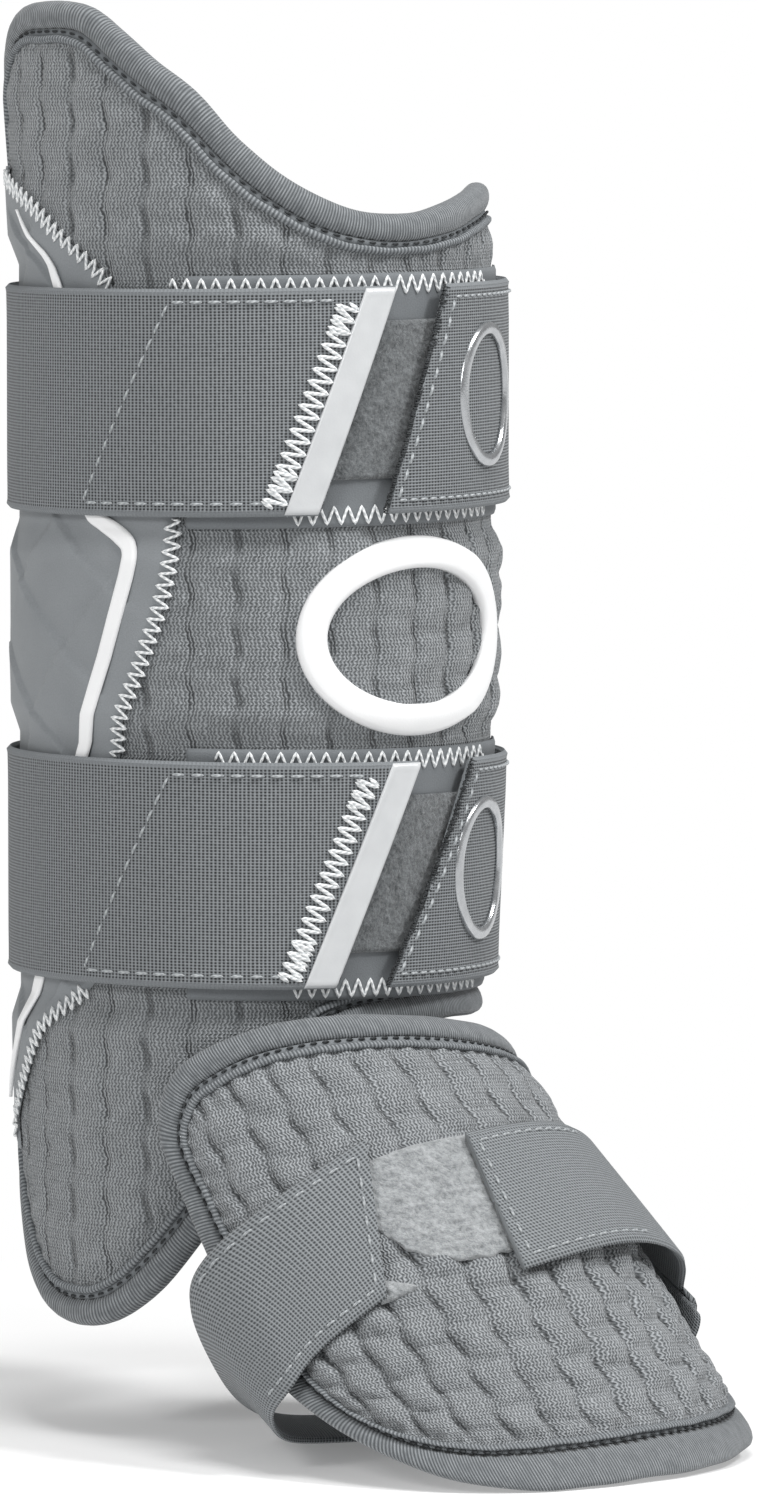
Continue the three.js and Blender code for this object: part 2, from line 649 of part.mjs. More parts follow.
add('shin_pad', quiltedPad(shinLoop, legPoint, shinPadThickness, reliefRows, underPlate), knit);
add('shin_binding', binding(evenly(shinLoop, 92), legPoint, shinWidth, 6), rib);
add('side_plate', sidePlate(), moulded);
add('side_plate_trim', sideTrim(), whiteFilm);
for (const [name, centre, ends] of [
  ['upper', upperStrapCentre, upperStrapEndAngles], ['lower', lowerStrapCentre, lowerStrapEndAngles],
]) {
  add(`${name}_loop_panel`, loopLayer(centre, ends, loopPanelMargin, loopPanelStartAngle, loopPanelEndAngle, layerClearance, panelTop), webbing);
  add(`${name}_loop_pile`, loopLayer(centre, ends, -loopPileMargin, loopPanelStartAngle + loopPileInsetAngle, loopPanelEndAngle - 2 * loopPileInsetAngle,
    panelTop + clearance, pileTop), pile);
  add(`${name}_strap`, legStrap(centre, ends), webbing);
  add(`${name}_strap_tab`, strapTab(centre, ends), silverFilm);
  add(`${name}_strap_badge`, strapBadge(centre, ends), silverFilm);
}
add('front_badge', ovalRing([-1 * arcPerDegree, frontBadgeCentre], frontBadgeWidth, frontBadgeHeight, frontBadgeBand,
  legPoint, badgeSeat, badgeSeat + frontBadgeThickness, 32), whiteFilm);
add('foot_pad', quiltedPad(flapLoop, flapPoint, flapPadThickness, flapRows, () => false), knit);
add('foot_binding', binding(evenly(flapLoop, 64), flapPoint, flapWidth, 6), rib);
add('foot_loop_patch', flapLoopPatch(), palePile);
add('foot_strap', archStrap(), webbing);
add('ankle_tongue', ankleTongue(), webbing);

export default assembly;
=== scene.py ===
"""Batter's leg guard, dressed in knit, tape, webbing and thread.

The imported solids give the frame. Every piece below is a surface worked out
from the same sizes as its solid, so it lies where the solid lies, and adds
what the solid leaves out: the quilt, the folded edges, the weave and the
stitching. Surfaces are worked out in millimetres above the ground and become
meshes in metres in the row frame.
"""

import logging
import math
from dataclasses import dataclass, field
from enum import Enum
from typing import Any, Callable, Sequence

import bpy
import numpy as np
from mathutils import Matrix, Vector


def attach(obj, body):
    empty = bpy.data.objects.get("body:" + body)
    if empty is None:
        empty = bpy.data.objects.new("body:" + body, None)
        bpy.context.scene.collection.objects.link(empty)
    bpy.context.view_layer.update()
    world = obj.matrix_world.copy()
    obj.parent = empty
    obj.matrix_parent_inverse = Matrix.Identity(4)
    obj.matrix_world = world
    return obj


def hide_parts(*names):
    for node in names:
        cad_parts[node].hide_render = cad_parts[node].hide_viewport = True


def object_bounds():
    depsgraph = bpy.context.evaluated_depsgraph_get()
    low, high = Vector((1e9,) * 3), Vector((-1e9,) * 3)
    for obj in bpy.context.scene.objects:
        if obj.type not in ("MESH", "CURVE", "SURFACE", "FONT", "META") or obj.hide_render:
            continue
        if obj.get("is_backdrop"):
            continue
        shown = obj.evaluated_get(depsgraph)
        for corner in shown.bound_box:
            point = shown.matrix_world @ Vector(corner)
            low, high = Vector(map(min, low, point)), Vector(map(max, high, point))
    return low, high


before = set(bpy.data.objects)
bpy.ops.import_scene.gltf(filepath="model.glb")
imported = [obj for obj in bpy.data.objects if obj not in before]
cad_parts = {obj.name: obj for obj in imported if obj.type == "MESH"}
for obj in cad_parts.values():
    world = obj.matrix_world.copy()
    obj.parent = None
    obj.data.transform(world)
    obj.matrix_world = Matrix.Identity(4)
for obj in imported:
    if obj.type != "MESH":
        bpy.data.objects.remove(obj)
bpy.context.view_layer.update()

Array = np.ndarray
Surface = Callable[[Array, Array, Array], Array]

LOG = logging.getLogger("leg_guard")
SEAT_HEIGHT = 230.11
TURN = 2.0 * math.pi
WHITE = (1.0, 1.0, 1.0, 1.0)

# The quilt: millimetres between channels and between the tacks along one, and
# where along a tack's length the channel is deepest
CHANNEL = 13.2
TACK = 14.2
TACK_PHASE = 1.9


# Numbers and lines


def ramp(value: Array, low: float, high: float) -> Array:
    """Straight ramp from 0 at low to 1 at high.

    Args:
        value: Numbers to place on the ramp.
        low: Where the ramp leaves 0.
        high: Where it reaches 1.

    Returns:
        Shares from 0 to 1.
    """
    return np.clip((np.asarray(value, float) - low) / (high - low), 0.0, 1.0)


def smooth(value: Array, low: float, high: float) -> Array:
    """Ramp with soft ends: three squares of the share less two cubes.

    Args:
        value: Numbers to place on the ramp.
        low: Where the ramp leaves 0.
        high: Where it reaches 1.

    Returns:
        Shares from 0 to 1.
    """
    share = ramp(value, low, high)
    return share * share * (3.0 - 2.0 * share)


def wrapped(angle: Array) -> Array:
    """Angle in degrees brought between -180 and 180."""
    return np.mod(angle + 180.0, 360.0) - 180.0


def table_at(table: Array, key: Array, column: int) -> Array:
    """Column of a table at a key of its first column, straight between rows.

    Args:
        table: Rows whose first column rises or falls.
        key: Keys to look up; past the ends the last straight run goes on.
        column: Which column is wanted.

    Returns:
        One number for each key.
    """
    rows = table if table[0, 0] < table[-1, 0] else table[::-1]
    place = np.clip(np.searchsorted(rows[:, 0], key) - 1, 0, len(rows) - 2)
    share = (key - rows[place, 0]) / (rows[place + 1, 0] - rows[place, 0])
    return rows[place, column] + share * (rows[place + 1, column] - rows[place, column])


def catmull_rom(points: Array, count: int, closed: bool) -> Array:
    """Centripetal Catmull-Rom curve, in even steps of its own parameter.

    Each stretch is a cubic whose end slopes come from the neighbouring points,
    weighted by the fourth root of the squared distance between them.

    Args:
        points: Control points, one per row.
        count: Number of points wanted; an open curve gets both of its ends.
        closed: Whether the last point joins the first.

    Returns:
        Points on the curve.
    """
    total = len(points)
    spans = total if closed else total - 1
    place = np.arange(count) / (count if closed else count - 1) * spans
    index = np.minimum(place.astype(int), spans - 1)
    share = (place - index)[:, None]
    if closed:
        p0, p1, p2, p3 = (points[(index + k) % total] for k in (-1, 0, 1, 2))
    else:
        ends = np.vstack([2 * points[0] - points[1], points, 2 * points[-1] - points[-2]])
        p0, p1, p2, p3 = (ends[index + k] for k in (0, 1, 2, 3))
    d0, d1, d2 = (
        np.maximum(np.sum((b - a) ** 2, axis=1), 1e-8)[:, None] ** 0.25
        for a, b in ((p0, p1), (p1, p2), (p2, p3))
    )
    m1 = ((p1 - p0) / d0 - (p2 - p0) / (d0 + d1) + (p2 - p1) / d1) * d1
    m2 = ((p2 - p1) / d1 - (p3 - p1) / (d1 + d2) + (p3 - p2) / d2) * d1
    t2, t3 = share**2, share**3
    return (
        (2 * t3 - 3 * t2 + 1) * p1
        + (t3 - 2 * t2 + share) * m1
        + (-2 * t3 + 3 * t2) * p2
        + (t3 - t2) * m2
    )


def even_steps(line: Array, count: int, closed: bool) -> Array:
    """The same line with its points evenly spaced along its length.

    Args:
        line: Points of the line.
        count: Number of points wanted.
        closed: Whether the last point joins the first.

    Returns:
        The evenly spaced points.
    """
    run = np.vstack([line, line[:1]]) if closed else line
    length = run_along(run)
    at = np.linspace(0.0, length[-1], count + 1)[:-1] if closed else np.linspace(0.0, length[-1], count)
    return np.stack([np.interp(at, length, run[:, k]) for k in range(run.shape[1])], axis=1)


def run_along(line: Array) -> Array:
    """Length of a line up to each of its points."""
    return np.concatenate([[0.0], np.cumsum(np.linalg.norm(np.diff(line, axis=0), axis=1))])


def line_length(line: Array, closed: bool) -> float:
    """Length of a line through its points."""
    run = np.vstack([line, line[:1]]) if closed else line
    return float(np.linalg.norm(np.diff(run, axis=0), axis=1).sum())


def directions(line: Array) -> tuple[Array, Array]:
    """Unit directions along an open plane line, and square to it on its right."""
    along = np.gradient(line, axis=0)
    along /= np.linalg.norm(along, axis=1, keepdims=True)
    return along, np.stack([along[:, 1], -along[:, 0]], axis=1)


def running_mean(values: Array, reach: int) -> Array:
    """Mean of each value and so many on each side; the ends are repeated."""
    count = 2 * reach + 1
    return np.convolve(np.pad(values, reach, mode="edge"), np.ones(count) / count, mode="valid")


def crossings(outline: Array, across: Array) -> tuple[Array, Array]:
    """Lowest and highest crossing of a closed plane outline at each column.

    Args:
        outline: Points of the outline.
        across: First coordinate of each column.

    Returns:
        The second coordinate of both crossings.
    """
    a, b = outline, np.roll(outline, -1, axis=0)
    run = b[:, 0] - a[:, 0]
    share = (across[:, None] - a[None, :, 0]) / np.where(np.abs(run) < 1e-9, 1e-9, run)
    met = (share >= 0.0) & (share <= 1.0)
    height = a[None, :, 1] + share * (b - a)[None, :, 1]
    return np.where(met, height, np.inf).min(axis=1), np.where(met, height, -np.inf).max(axis=1)


def ripple(x: Array, y: Array, size: float, seed: int) -> Array:
    """Soft unevenness between about -1 and 1: a sum of slanted sine waves.

    Args:
        x: First plane coordinate.
        y: Second plane coordinate.
        size: Typical distance between bumps.
        seed: Which set of waves to use.

    Returns:
        The height at each point.
    """
    chance = np.random.default_rng(seed)
    total = np.zeros(np.broadcast(x, y).shape)
    for _ in range(7):
        turn, phase = chance.uniform(0, TURN, 2)
        pace = TURN / (size * chance.uniform(0.7, 1.6))
        total = total + np.sin(pace * (x * math.cos(turn) + y * math.sin(turn)) + phase)
    return total / 3.2


# Finishes


def colour(code: str) -> tuple[float, float, float, float]:
    """Linear colour of an sRGB hex code.

    Each channel is the value over 12.92 below 0.04045, and otherwise the value
    plus 0.055, over 1.055, to the power 2.4.

    Args:
        code: Six hex digits after a hash.

    Returns:
        Red, green, blue and alpha.
    """
    values = [int(code[k : k + 2], 16) / 255.0 for k in (1, 3, 5)]
    linear = [v / 12.92 if v <= 0.04045 else ((v + 0.055) / 1.055) ** 2.4 for v in values]
    return linear[0], linear[1], linear[2], 1.0


def add_node(
    tree: Any, kind: str, settings: dict[str, Any] | None = None, inputs: dict[Any, Any] | None = None
) -> Any:
    """Adds a node with its settings and links.

    Args:
        tree: Node tree that gets the node.
        kind: Blender's name for the kind of node.
        settings: The node's own settings by name.
        inputs: Values, or sockets to link, by the input's name or number.

    Returns:
        The new node.
    """
    node = tree.nodes.new(kind)
    for key, value in (settings or {}).items():
        setattr(node, key, value)
    for key, value in (inputs or {}).items():
        if isinstance(value, bpy.types.NodeSocket):
            tree.links.new(value, node.inputs[key])
        else:
            node.inputs[key].default_value = value
    return node


class Pattern:
    """Short ways to add the nodes that the finishes share; each gives a socket."""

    def __init__(self, tree: Any) -> None:
        """Reads the cloth coordinates, in millimetres."""
        self.tree = tree
        self.cloth = add_node(tree, "ShaderNodeUVMap", {"uv_map": "cloth"}).outputs[0]

    def axes(self) -> tuple[Any, Any]:
        """The two cloth coordinates."""
        outputs = add_node(self.tree, "ShaderNodeSeparateXYZ", inputs={0: self.cloth}).outputs
        return outputs[0], outputs[1]

    def math(self, operation: str, *values: Any) -> Any:
        """Result of an operation on values or sockets."""
        inputs = dict(enumerate(values))
        return add_node(self.tree, "ShaderNodeMath", {"operation": operation}, inputs).outputs[0]

    def ranged(self, value: Any, *ends: float) -> Any:
        """Value carried from two ends to two new ones, or to 0 and 1, and held there."""
        inputs = {0: value, **dict(enumerate(ends, 1))}
        return add_node(self.tree, "ShaderNodeMapRange", inputs=inputs).outputs[0]

    def blend(self, share: Any, low: Any, high: Any) -> Any:
        """Number between two others."""
        inputs = {0: share, 2: low, 3: high}
        return add_node(self.tree, "ShaderNodeMix", {"data_type": "FLOAT"}, inputs).outputs[0]

    def tone(self, share: Any, low: Any, high: Any) -> Any:
        """Colour between two others, each a hex code or a socket."""
        low, high = (colour(value) if isinstance(value, str) else value for value in (low, high))
        inputs = {"Factor": share, 6: low, 7: high}
        return add_node(self.tree, "ShaderNodeMix", {"data_type": "RGBA"}, inputs).outputs[2]

    def noise(self, scale: float, detail: float, **more: float) -> Any:
        """Soft noise on the cloth."""
        inputs = {"Vector": self.cloth, "Scale": scale, "Detail": detail, **more}
        return add_node(self.tree, "ShaderNodeTexNoise", inputs=inputs).outputs["Fac"]

    def place(self, x: Any, y: Any) -> Any:
        """Coordinates made of two numbers."""
        return add_node(self.tree, "ShaderNodeCombineXYZ", inputs={0: x, 1: y}).outputs[0]

    def bands(self, place: Any, direction: str, period: float, **more: float) -> Any:
        """Sine bands that repeat every so many millimetres.

        Blender's wave texture has a period of a twentieth of a full turn.

        Args:
            place: Socket of the coordinates.
            direction: Axis that the bands follow one another along.
            period: Millimetres from one band to the next.
            more: Further inputs of the texture by name.

        Returns:
            Socket of the bands' height.
        """
        settings = {"wave_type": "BANDS", "bands_direction": direction, "wave_profile": "SIN"}
        inputs = {"Vector": place, "Scale": TURN / 20.0 / period, "Distortion": 0.0, **more}
        return add_node(self.tree, "ShaderNodeTexWave", settings, inputs).outputs["Fac"]

    def bump(self, height: Any, depth: float, strength: float = 1.0) -> Any:
        """Normal of a relief whose depth is given in metres."""
        inputs = {"Height": height, "Distance": depth, "Strength": strength}
        return add_node(self.tree, "ShaderNodeBump", inputs=inputs).outputs[0]


@dataclass(frozen=True)
class Finish:
    """Base of the finishes: a named material with a principled shader."""

    name: str = "finish"
    base: str = "#808080"
    roughness: float = 0.8
    metallic: float = 0.0
    sheen: float = 0.0

    def start(self) -> tuple[Any, Any, Any]:
        """New material, its tree, and its shader with the plain values set."""
        material = bpy.data.materials.new(self.name)
        material.use_nodes = True
        tree = material.node_tree
        tree.nodes.clear()
        inputs = {
            "Base Color": colour(self.base),
            "Roughness": self.roughness,
            "Metallic": self.metallic,
            "Sheen Weight": self.sheen,
            "Sheen Roughness": 0.5,
        }
        shader = add_node(tree, "ShaderNodeBsdfPrincipled", inputs=inputs)
        add_node(tree, "ShaderNodeOutputMaterial", inputs={"Surface": shader.outputs[0]})
        material.diffuse_color = colour(self.base)
        return material, tree, shader

    def material(self) -> Any:
        """The finished material, with its pattern linked to its shader."""
        material, tree, shader = self.start()
        for name, socket in self.sockets(Pattern(tree)).items():
            tree.links.new(socket, shader.inputs[name])
        return material

    def sockets(self, cloth: Pattern) -> dict[str, Any]:
        """Sockets of the finish's pattern, by the shader input that each feeds."""
        return {}


@dataclass(frozen=True)
class SpacerKnit(Finish):
    """Spacer knit quilted in narrow channels.

    The wales run up the pad as fine zigzag ribs. Each channel shows as two narrow
    dark lines of painted shade, standing in for the shade in its groove, that sway
    together and fade out between the tacks.
    """

    wale: float = 1.15  # mm between ribs; the real 0.8 is too fine to show
    kink: float = 1.5  # mm between the turns of a rib's zigzag
    course: float = 0.9  # mm between stitches; the real 0.65 is too fine to show
    sway: float = 0.6  # mm that a channel swings to each side
    shade_line_out: float = 0.55  # mm from the channel's middle to each line of painted shade
    light: str = "#9da1a4"
    dark: str = "#484c4e"
    # colour of the painted shade lines in the channel grooves
    line: str = "#2b2e30"

    def sockets(self, cloth: Pattern) -> dict[str, Any]:
        """Knit ribs, stitches, a soft mottling, and the two lines of painted shade in each channel."""
        x, y = cloth.axes()
        swing = cloth.math("SINE", cloth.math("MULTIPLY", y, TURN / TACK))
        loose = cloth.math("SUBTRACT", cloth.math("MULTIPLY_ADD", cloth.noise(0.45, 1.0), 1.4, x), 0.7)
        swayed = cloth.math("MULTIPLY_ADD", swing, -self.sway, loose)
        kinked = cloth.math("MULTIPLY_ADD", cloth.math("PINGPONG", y, self.kink / 2), 0.62, swayed)
        ribs = cloth.place(kinked, y)
        stitches = cloth.bands(ribs, "Y", self.course)
        knit = cloth.math("MULTIPLY_ADD", stitches, 0.35, cloth.bands(ribs, "X", self.wale))
        knit = cloth.math("MULTIPLY_ADD", cloth.noise(0.9, 2.0), 0.5, knit)
        shade = cloth.ranged(knit, 0.3, 1.45, 0.05, 0.95)
        shade = cloth.math("ADD", cloth.math("MULTIPLY_ADD", cloth.noise(0.11, 1.0), 0.3, shade), -0.15)
        tone = cloth.tone(shade, self.dark, self.light)
        # painted shade: two dark lines down each channel groove, darkest where the channel is deepest
        off = cloth.math("SUBTRACT", cloth.math("PINGPONG", swayed, CHANNEL / 2), self.shade_line_out)
        groove_shade = cloth.ranged(cloth.math("ABSOLUTE", off), 0.16, 0.42, 1.0, 0.0)
        beat = cloth.math("SINE", cloth.math("MULTIPLY_ADD", y, TURN / TACK, TACK_PHASE))
        groove_shade = cloth.math("MULTIPLY", groove_shade, cloth.ranged(beat, -0.8, 0.3, 0.25, 0.8))
        return {"Base Color": cloth.tone(groove_shade, tone, self.line), "Normal": cloth.bump(knit, 0.0005, 0.85)}


@dataclass(frozen=True)
class RibbedTape(Finish):
    """Knitted edge tape stretched round a roll: fine ribs square to the edge."""

    rib: float = 0.95  # mm between ribs
    dash: float = 3.7  # mm between stitches in the seam beside the fold
    seam: float = 10.4  # mm round the roll at which the seam lies
    seam_width: float = 0.55
    light: str = "#8f9396"
    dark: str = "#4a4e51"
    # colour of the painted shade in the seam's stitch holes
    hole_shade: str = "#1b1d1e"

    def sockets(self, cloth: Pattern) -> dict[str, Any]:
        """Ribs, uneven stretch, and the seam's stitch holes, painted dark as shade."""
        x, y = cloth.axes()
        ribs = cloth.math("MULTIPLY", cloth.bands(cloth.cloth, "X", self.rib), cloth.noise(0.35, 2.0))
        tone = cloth.tone(cloth.ranged(ribs, 0.0, 0.6), self.dark, self.light)
        # painted shade: dark dashes where the seam's stitch holes lie beside the fold
        off = cloth.math("ABSOLUTE", cloth.math("SUBTRACT", y, self.seam))
        seam = cloth.ranged(off, self.seam_width * 0.6, self.seam_width * 1.4, 1.0, 0.0)
        beat = cloth.math("SINE", cloth.math("MULTIPLY", x, TURN / self.dash))
        seam = cloth.math("MULTIPLY", seam, cloth.ranged(beat, -0.1, 0.3, 0.15, 0.95))
        return {"Base Color": cloth.tone(seam, tone, self.hole_shade), "Normal": cloth.bump(ribs, 0.0004, 0.9)}


@dataclass(frozen=True)
class WovenElastic(Finish):
    """Woven elastic webbing: a tight grid of fine cells with dark gaps."""

    across: float = 1.1  # mm between threads along the strap
    up: float = 0.85  # mm between threads across the strap; the real 0.7 is too fine
    half_width: float = 31.0  # mm from the strap's middle to its edge
    hem: float = 1.6  # mm of lighter selvage along each edge
    light: str = "#868a8d"
    dark: str = "#1a1c1e"
    selvage: str = "#777b7e"
    ribbed_from: float = 1e6  # mm along the strap past which it is stretched
    slant: float = 0.0  # mm sideways for each mm across, of the threads

    def sockets(self, cloth: Pattern) -> dict[str, Any]:
        """Grid of threads, selvages, and the smoother stretched end."""
        x, y = cloth.axes()
        threads = cloth.place(cloth.math("MULTIPLY_ADD", y, self.slant, x), y)
        warp = cloth.bands(threads, "X", self.across, Distortion=0.3, Detail=1.0)
        weft = cloth.bands(threads, "Y", self.up, Distortion=0.3, Detail=1.0)
        stretched = cloth.ranged(x, self.ribbed_from - 4.0, self.ribbed_from, 0.62, 0.2)
        weave = cloth.blend(0.5, cloth.blend(stretched, weft, warp), cloth.math("MAXIMUM", warp, weft))
        weave = cloth.math("MULTIPLY_ADD", cloth.noise(0.8, 3.0), 0.4, weave)
        tone = cloth.tone(cloth.ranged(weave, 0.38, 1.1), self.dark, self.light)
        inner = self.half_width - self.hem
        edge = cloth.ranged(cloth.math("ABSOLUTE", y), inner - 0.3, inner + 0.3)
        return {"Base Color": cloth.tone(edge, tone, self.selvage), "Normal": cloth.bump(weave, 0.0003, 0.8)}


@dataclass(frozen=True)
class BrushedLoop(Finish):
    """Brushed loop pile: short tangled fibres that catch the light in flecks."""

    fleck: float = 1.1  # flecks to the millimetre
    light: str = "#7b7f81"
    dark: str = "#3a3d3f"
    depth: float = 0.0006

    def sockets(self, cloth: Pattern) -> dict[str, Any]:
        """Flecks, tufts and a fibrous bump."""
        flecks = cloth.noise(self.fleck, 4.0, Roughness=0.75)
        fibre = cloth.math("MULTIPLY_ADD", cloth.noise(self.fleck * 0.25, 2.0), 0.5, flecks)
        tone = cloth.tone(cloth.ranged(fibre, 0.5, 1.0), self.dark, self.light)
        return {"Base Color": tone, "Normal": cloth.bump(fibre, self.depth)}


@dataclass(frozen=True)
class SmoothCloth(Finish):
    """Fine tricot or laminate: nearly smooth, with a faint grain."""

    grain: float = 2.2  # ridges of the faint grain to the millimetre
    light: str = "#868a8d"
    dark: str = "#75797c"
    depth: float = 0.00012

    def sockets(self, cloth: Pattern) -> dict[str, Any]:
        """Faint cross grain and cloudy colour."""
        fine = cloth.noise(self.grain, 2.0)
        both = cloth.math("MULTIPLY_ADD", cloth.noise(0.08, 2.0), 0.6, fine)
        tone = cloth.tone(cloth.ranged(both, 0.45, 1.15), self.dark, self.light)
        return {"Base Color": tone, "Normal": cloth.bump(fine, self.depth, 0.8)}


@dataclass(frozen=True)
class TwistedThread(Finish):
    """Twisted polyester sewing thread: a glossy strand with a slanted twist."""

    twist: float = 0.9  # mm between turns of the twist
    light: str = "#f4f5f5"
    dark: str = "#c4c8ca"

    def sockets(self, cloth: Pattern) -> dict[str, Any]:
        """Slanted bands of the twist."""
        strands = cloth.bands(cloth.cloth, "DIAGONAL", self.twist)
        tone = cloth.tone(strands, self.dark, self.light)
        return {"Base Color": tone, "Normal": cloth.bump(strands, 0.0001)}


@dataclass(frozen=True)
class PressedFilm(Finish):
    """Heat-pressed film: smooth, with a faint unevenness in its gloss."""

    light: str = "#f7f7f7"
    dark: str = "#e4e5e6"
    cloud: float = 0.05  # clouds to the millimetre

    def sockets(self, cloth: Pattern) -> dict[str, Any]:
        """Cloudy colour and gloss."""
        cloud = cloth.noise(self.cloud, 2.0)
        return {
            "Base Color": cloth.tone(cloud, self.dark, self.light),
            "Roughness": cloth.ranged(cloud, 0.3, 0.7, self.roughness - 0.06, self.roughness + 0.06),
            "Normal": cloth.bump(cloth.noise(1.6, 2.0), 0.00004),
        }


class Cloths(Enum):
    """The finishes that the guard uses."""

    # matt grey knit, its ribs just visible, with broken lines of painted shade down the channel grooves
    SHIN_KNIT = SpacerKnit("polyester_spacer_knit", roughness=0.92, sheen=0.25)
    FLAP_KNIT = SpacerKnit(
        "polyester_spacer_knit_flap", roughness=0.92, sheen=0.25, wale=1.1, kink=1.9, course=1.1, sway=0.7,
        light="#a9adb0", dark="#44484b",
    )
    LINING = SmoothCloth("brushed_tricot_lining", roughness=0.95, light="#7e8285", dark="#6a6e71")
    # fine ribs square to the edge with stitch holes painted dark as shade, and a narrow fold beside a row of
    # dark stitches
    TAPE = RibbedTape("ribbed_knit_tape", roughness=0.88, sheen=0.2)
    FOLD = RibbedTape("folded_tape_edge", roughness=0.9, rib=1.2, seam=-50.0, light="#969a9d", dark="#4f5356")
    SEAM_BED = SmoothCloth("shaded_seam_cloth", roughness=0.95, light="#7c8083", dark="#6a6e71")
    DARK_SEAM = TwistedThread("dark_sewing_thread", roughness=0.8, light="#3a3d3f", dark="#1e2022")
    # tight dark weave with smoother edges
    ELASTIC = WovenElastic("woven_elastic_webbing", roughness=0.85, sheen=0.1, ribbed_from=330.0)
    ARCH_ELASTIC = WovenElastic(
        "woven_elastic_arch_webbing", roughness=0.85, sheen=0.1, across=1.15, up=0.95, half_width=60.0,
        light="#8c9093", dark="#3c4042", slant=0.5,
    )
    PANEL = SmoothCloth("tricot_loop_backing", roughness=0.85, light="#73777a", dark="#63676a", sheen=0.1)
    # short fuzz: dark between the straps' ends, pale and flecked on the flap
    PILE = BrushedLoop("brushed_nylon_loop", roughness=1.0, sheen=0.4)
    PALE_PILE = BrushedLoop(
        "pale_brushed_nylon_loop", roughness=1.0, sheen=0.5, light="#b9bcbe", dark="#74787a",
        fleck=0.8, depth=0.001
    )
    # smooth satin grey with soft facets
    PLATE = SmoothCloth("moulded_eva_laminate", roughness=0.8, light="#888c8f", dark="#7a7e81", sheen=0.15)
    # white and silver films with a low gloss, and a brighter film on the strap badges
    WHITE_FILM = PressedFilm("white_tpu_film", roughness=0.38)
    SILVER_FILM = PressedFilm(
        "silver_tpu_film", roughness=0.34, metallic=0.1, light="#cfd1d2", dark="#bdbfc1", cloud=0.12
    )
    CHROME_FILM = PressedFilm(
        "chromed_soft_emblem_film", roughness=0.24, metallic=0.85, light="#d3d5d7", dark="#9da0a3", cloud=0.2
    )
    THREAD = TwistedThread("white_polyester_thread", roughness=0.6)
    GREY_THREAD = TwistedThread("grey_polyester_thread", roughness=0.65, light="#b4b8ba", dark="#8b8f92")

    def made(self) -> Any:
        """The material, made at its first use."""
        return bpy.data.materials.get(self.value.name) or self.value.material()


# Meshes


def to_frame(points: Array) -> Array:
    """Millimetres above the ground to metres in the row frame."""
    return (points - np.array([0.0, 0.0, SEAT_HEIGHT])) / 1000.0


@dataclass
class Patch:
    """Grid of points that becomes part of a mesh.

    Args:
        points: Rows by columns by three, in millimetres.
        cloth: Plane coordinates in millimetres, with one more row or column
            than the points along each closed direction.
        closed_rows: Whether the last row joins the first.
        capped: Whether each end row is closed by a fan about its middle.
        slots: Material slot of each column of faces, or None for the first.

    The last column always joins the first.
    """

    points: Array
    cloth: Array
    closed_rows: bool = False
    capped: bool = False
    slots: Array | None = None

    def faces(self, start: int) -> tuple[Array, Array, Array]:
        """Faces of the grid.

        Args:
            start: Number of mesh points before this grid's.

        Returns:
            Corner indices, corner cloth coordinates, and a slot for each face.
        """
        rows, columns = self.points.shape[:2]
        strips = np.arange(rows if self.closed_rows else rows - 1)
        i, j = np.meshgrid(strips, np.arange(columns), indexing="ij")
        corners, places = [], []
        for a, b in ((0, 0), (0, 1), (1, 1), (1, 0)):
            corners.append(start + ((i + a) % rows) * columns + (j + b) % columns)
            places.append(self.cloth[i + a, j + b])
        slots = np.zeros(i.shape, int) if self.slots is None else np.broadcast_to(self.slots[j], i.shape)
        quads, cloth = np.stack(corners, axis=-1), np.stack(places, axis=-2)
        return quads.reshape(-1, 4), cloth.reshape(-1, 2), slots.reshape(-1)


def make_piece(
    name: str, patches: Sequence[Patch], cloths: Sequence[Cloths], node: str = ""
) -> Any:
    """Mesh object from grids, with its faces turned outward, on the part's one body.

    Args:
        name: Name of the piece.
        patches: Grids that make it up.
        cloths: Finishes of its material slots.
        node: Node of the solids that it stands for, or none.

    Returns:
        The new object.
    """
    points, loops, places, sizes, slots = [], [], [], [], []
    start = 0
    for patch in patches:
        rows, columns = patch.points.shape[:2]
        first, start = start, start + rows * columns
        quads, cloth, patch_slots = patch.faces(first)
        points.append(patch.points.reshape(-1, 3))
        loops.append(quads.reshape(-1))
        places.append(cloth)
        sizes.append(np.full(len(quads), 4))
        slots.append(patch_slots)
        if patch.capped:
            j = np.arange(columns)
            for row, order in ((0, [0, 1]), (rows - 1, [1, 0])):
                ring = first + row * columns + np.stack([(j + 1) % columns, j], axis=1)[:, order]
                fan = np.concatenate([ring, np.full((columns, 1), start)], axis=1)
                points.append(patch.points[row].mean(axis=0)[None])
                loops.append(fan.reshape(-1))
                places.append(np.repeat(patch.cloth[row, j], 3, axis=0))
                sizes.append(np.full(columns, 3))
                slots.append(np.zeros(columns, int))
                start += 1
    size = np.concatenate(sizes)
    corner = np.concatenate(loops)
    mesh = bpy.data.meshes.new(name)
    mesh.vertices.add(start)
    mesh.vertices.foreach_set("co", to_frame(np.concatenate(points)).astype(np.float32).ravel())
    mesh.loops.add(len(corner))
    mesh.loops.foreach_set("vertex_index", corner.astype(np.int32))
    mesh.polygons.add(len(size))
    mesh.polygons.foreach_set("loop_start", (np.cumsum(size) - size).astype(np.int32))
    mesh.polygons.foreach_set("material_index", np.concatenate(slots).astype(np.int32))
    mesh.update(calc_edges=True)
    layer = mesh.uv_layers.new(name="cloth")
    layer.uv.foreach_set("vector", np.concatenate(places).astype(np.float32).ravel())
    mesh.polygons.foreach_set("use_smooth", np.full(len(size), True))
    mesh.validate()
    if signed_volume(mesh) < 0:
        mesh.flip_normals()
    for cloth in cloths:
        mesh.materials.append(cloth.made())
    piece = bpy.data.objects.new(name, mesh)
    bpy.context.scene.collection.objects.link(piece)
    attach(piece, "root")
    if node:
        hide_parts(node)
    LOG.info("%s: %d faces", name, len(mesh.polygons))
    return piece


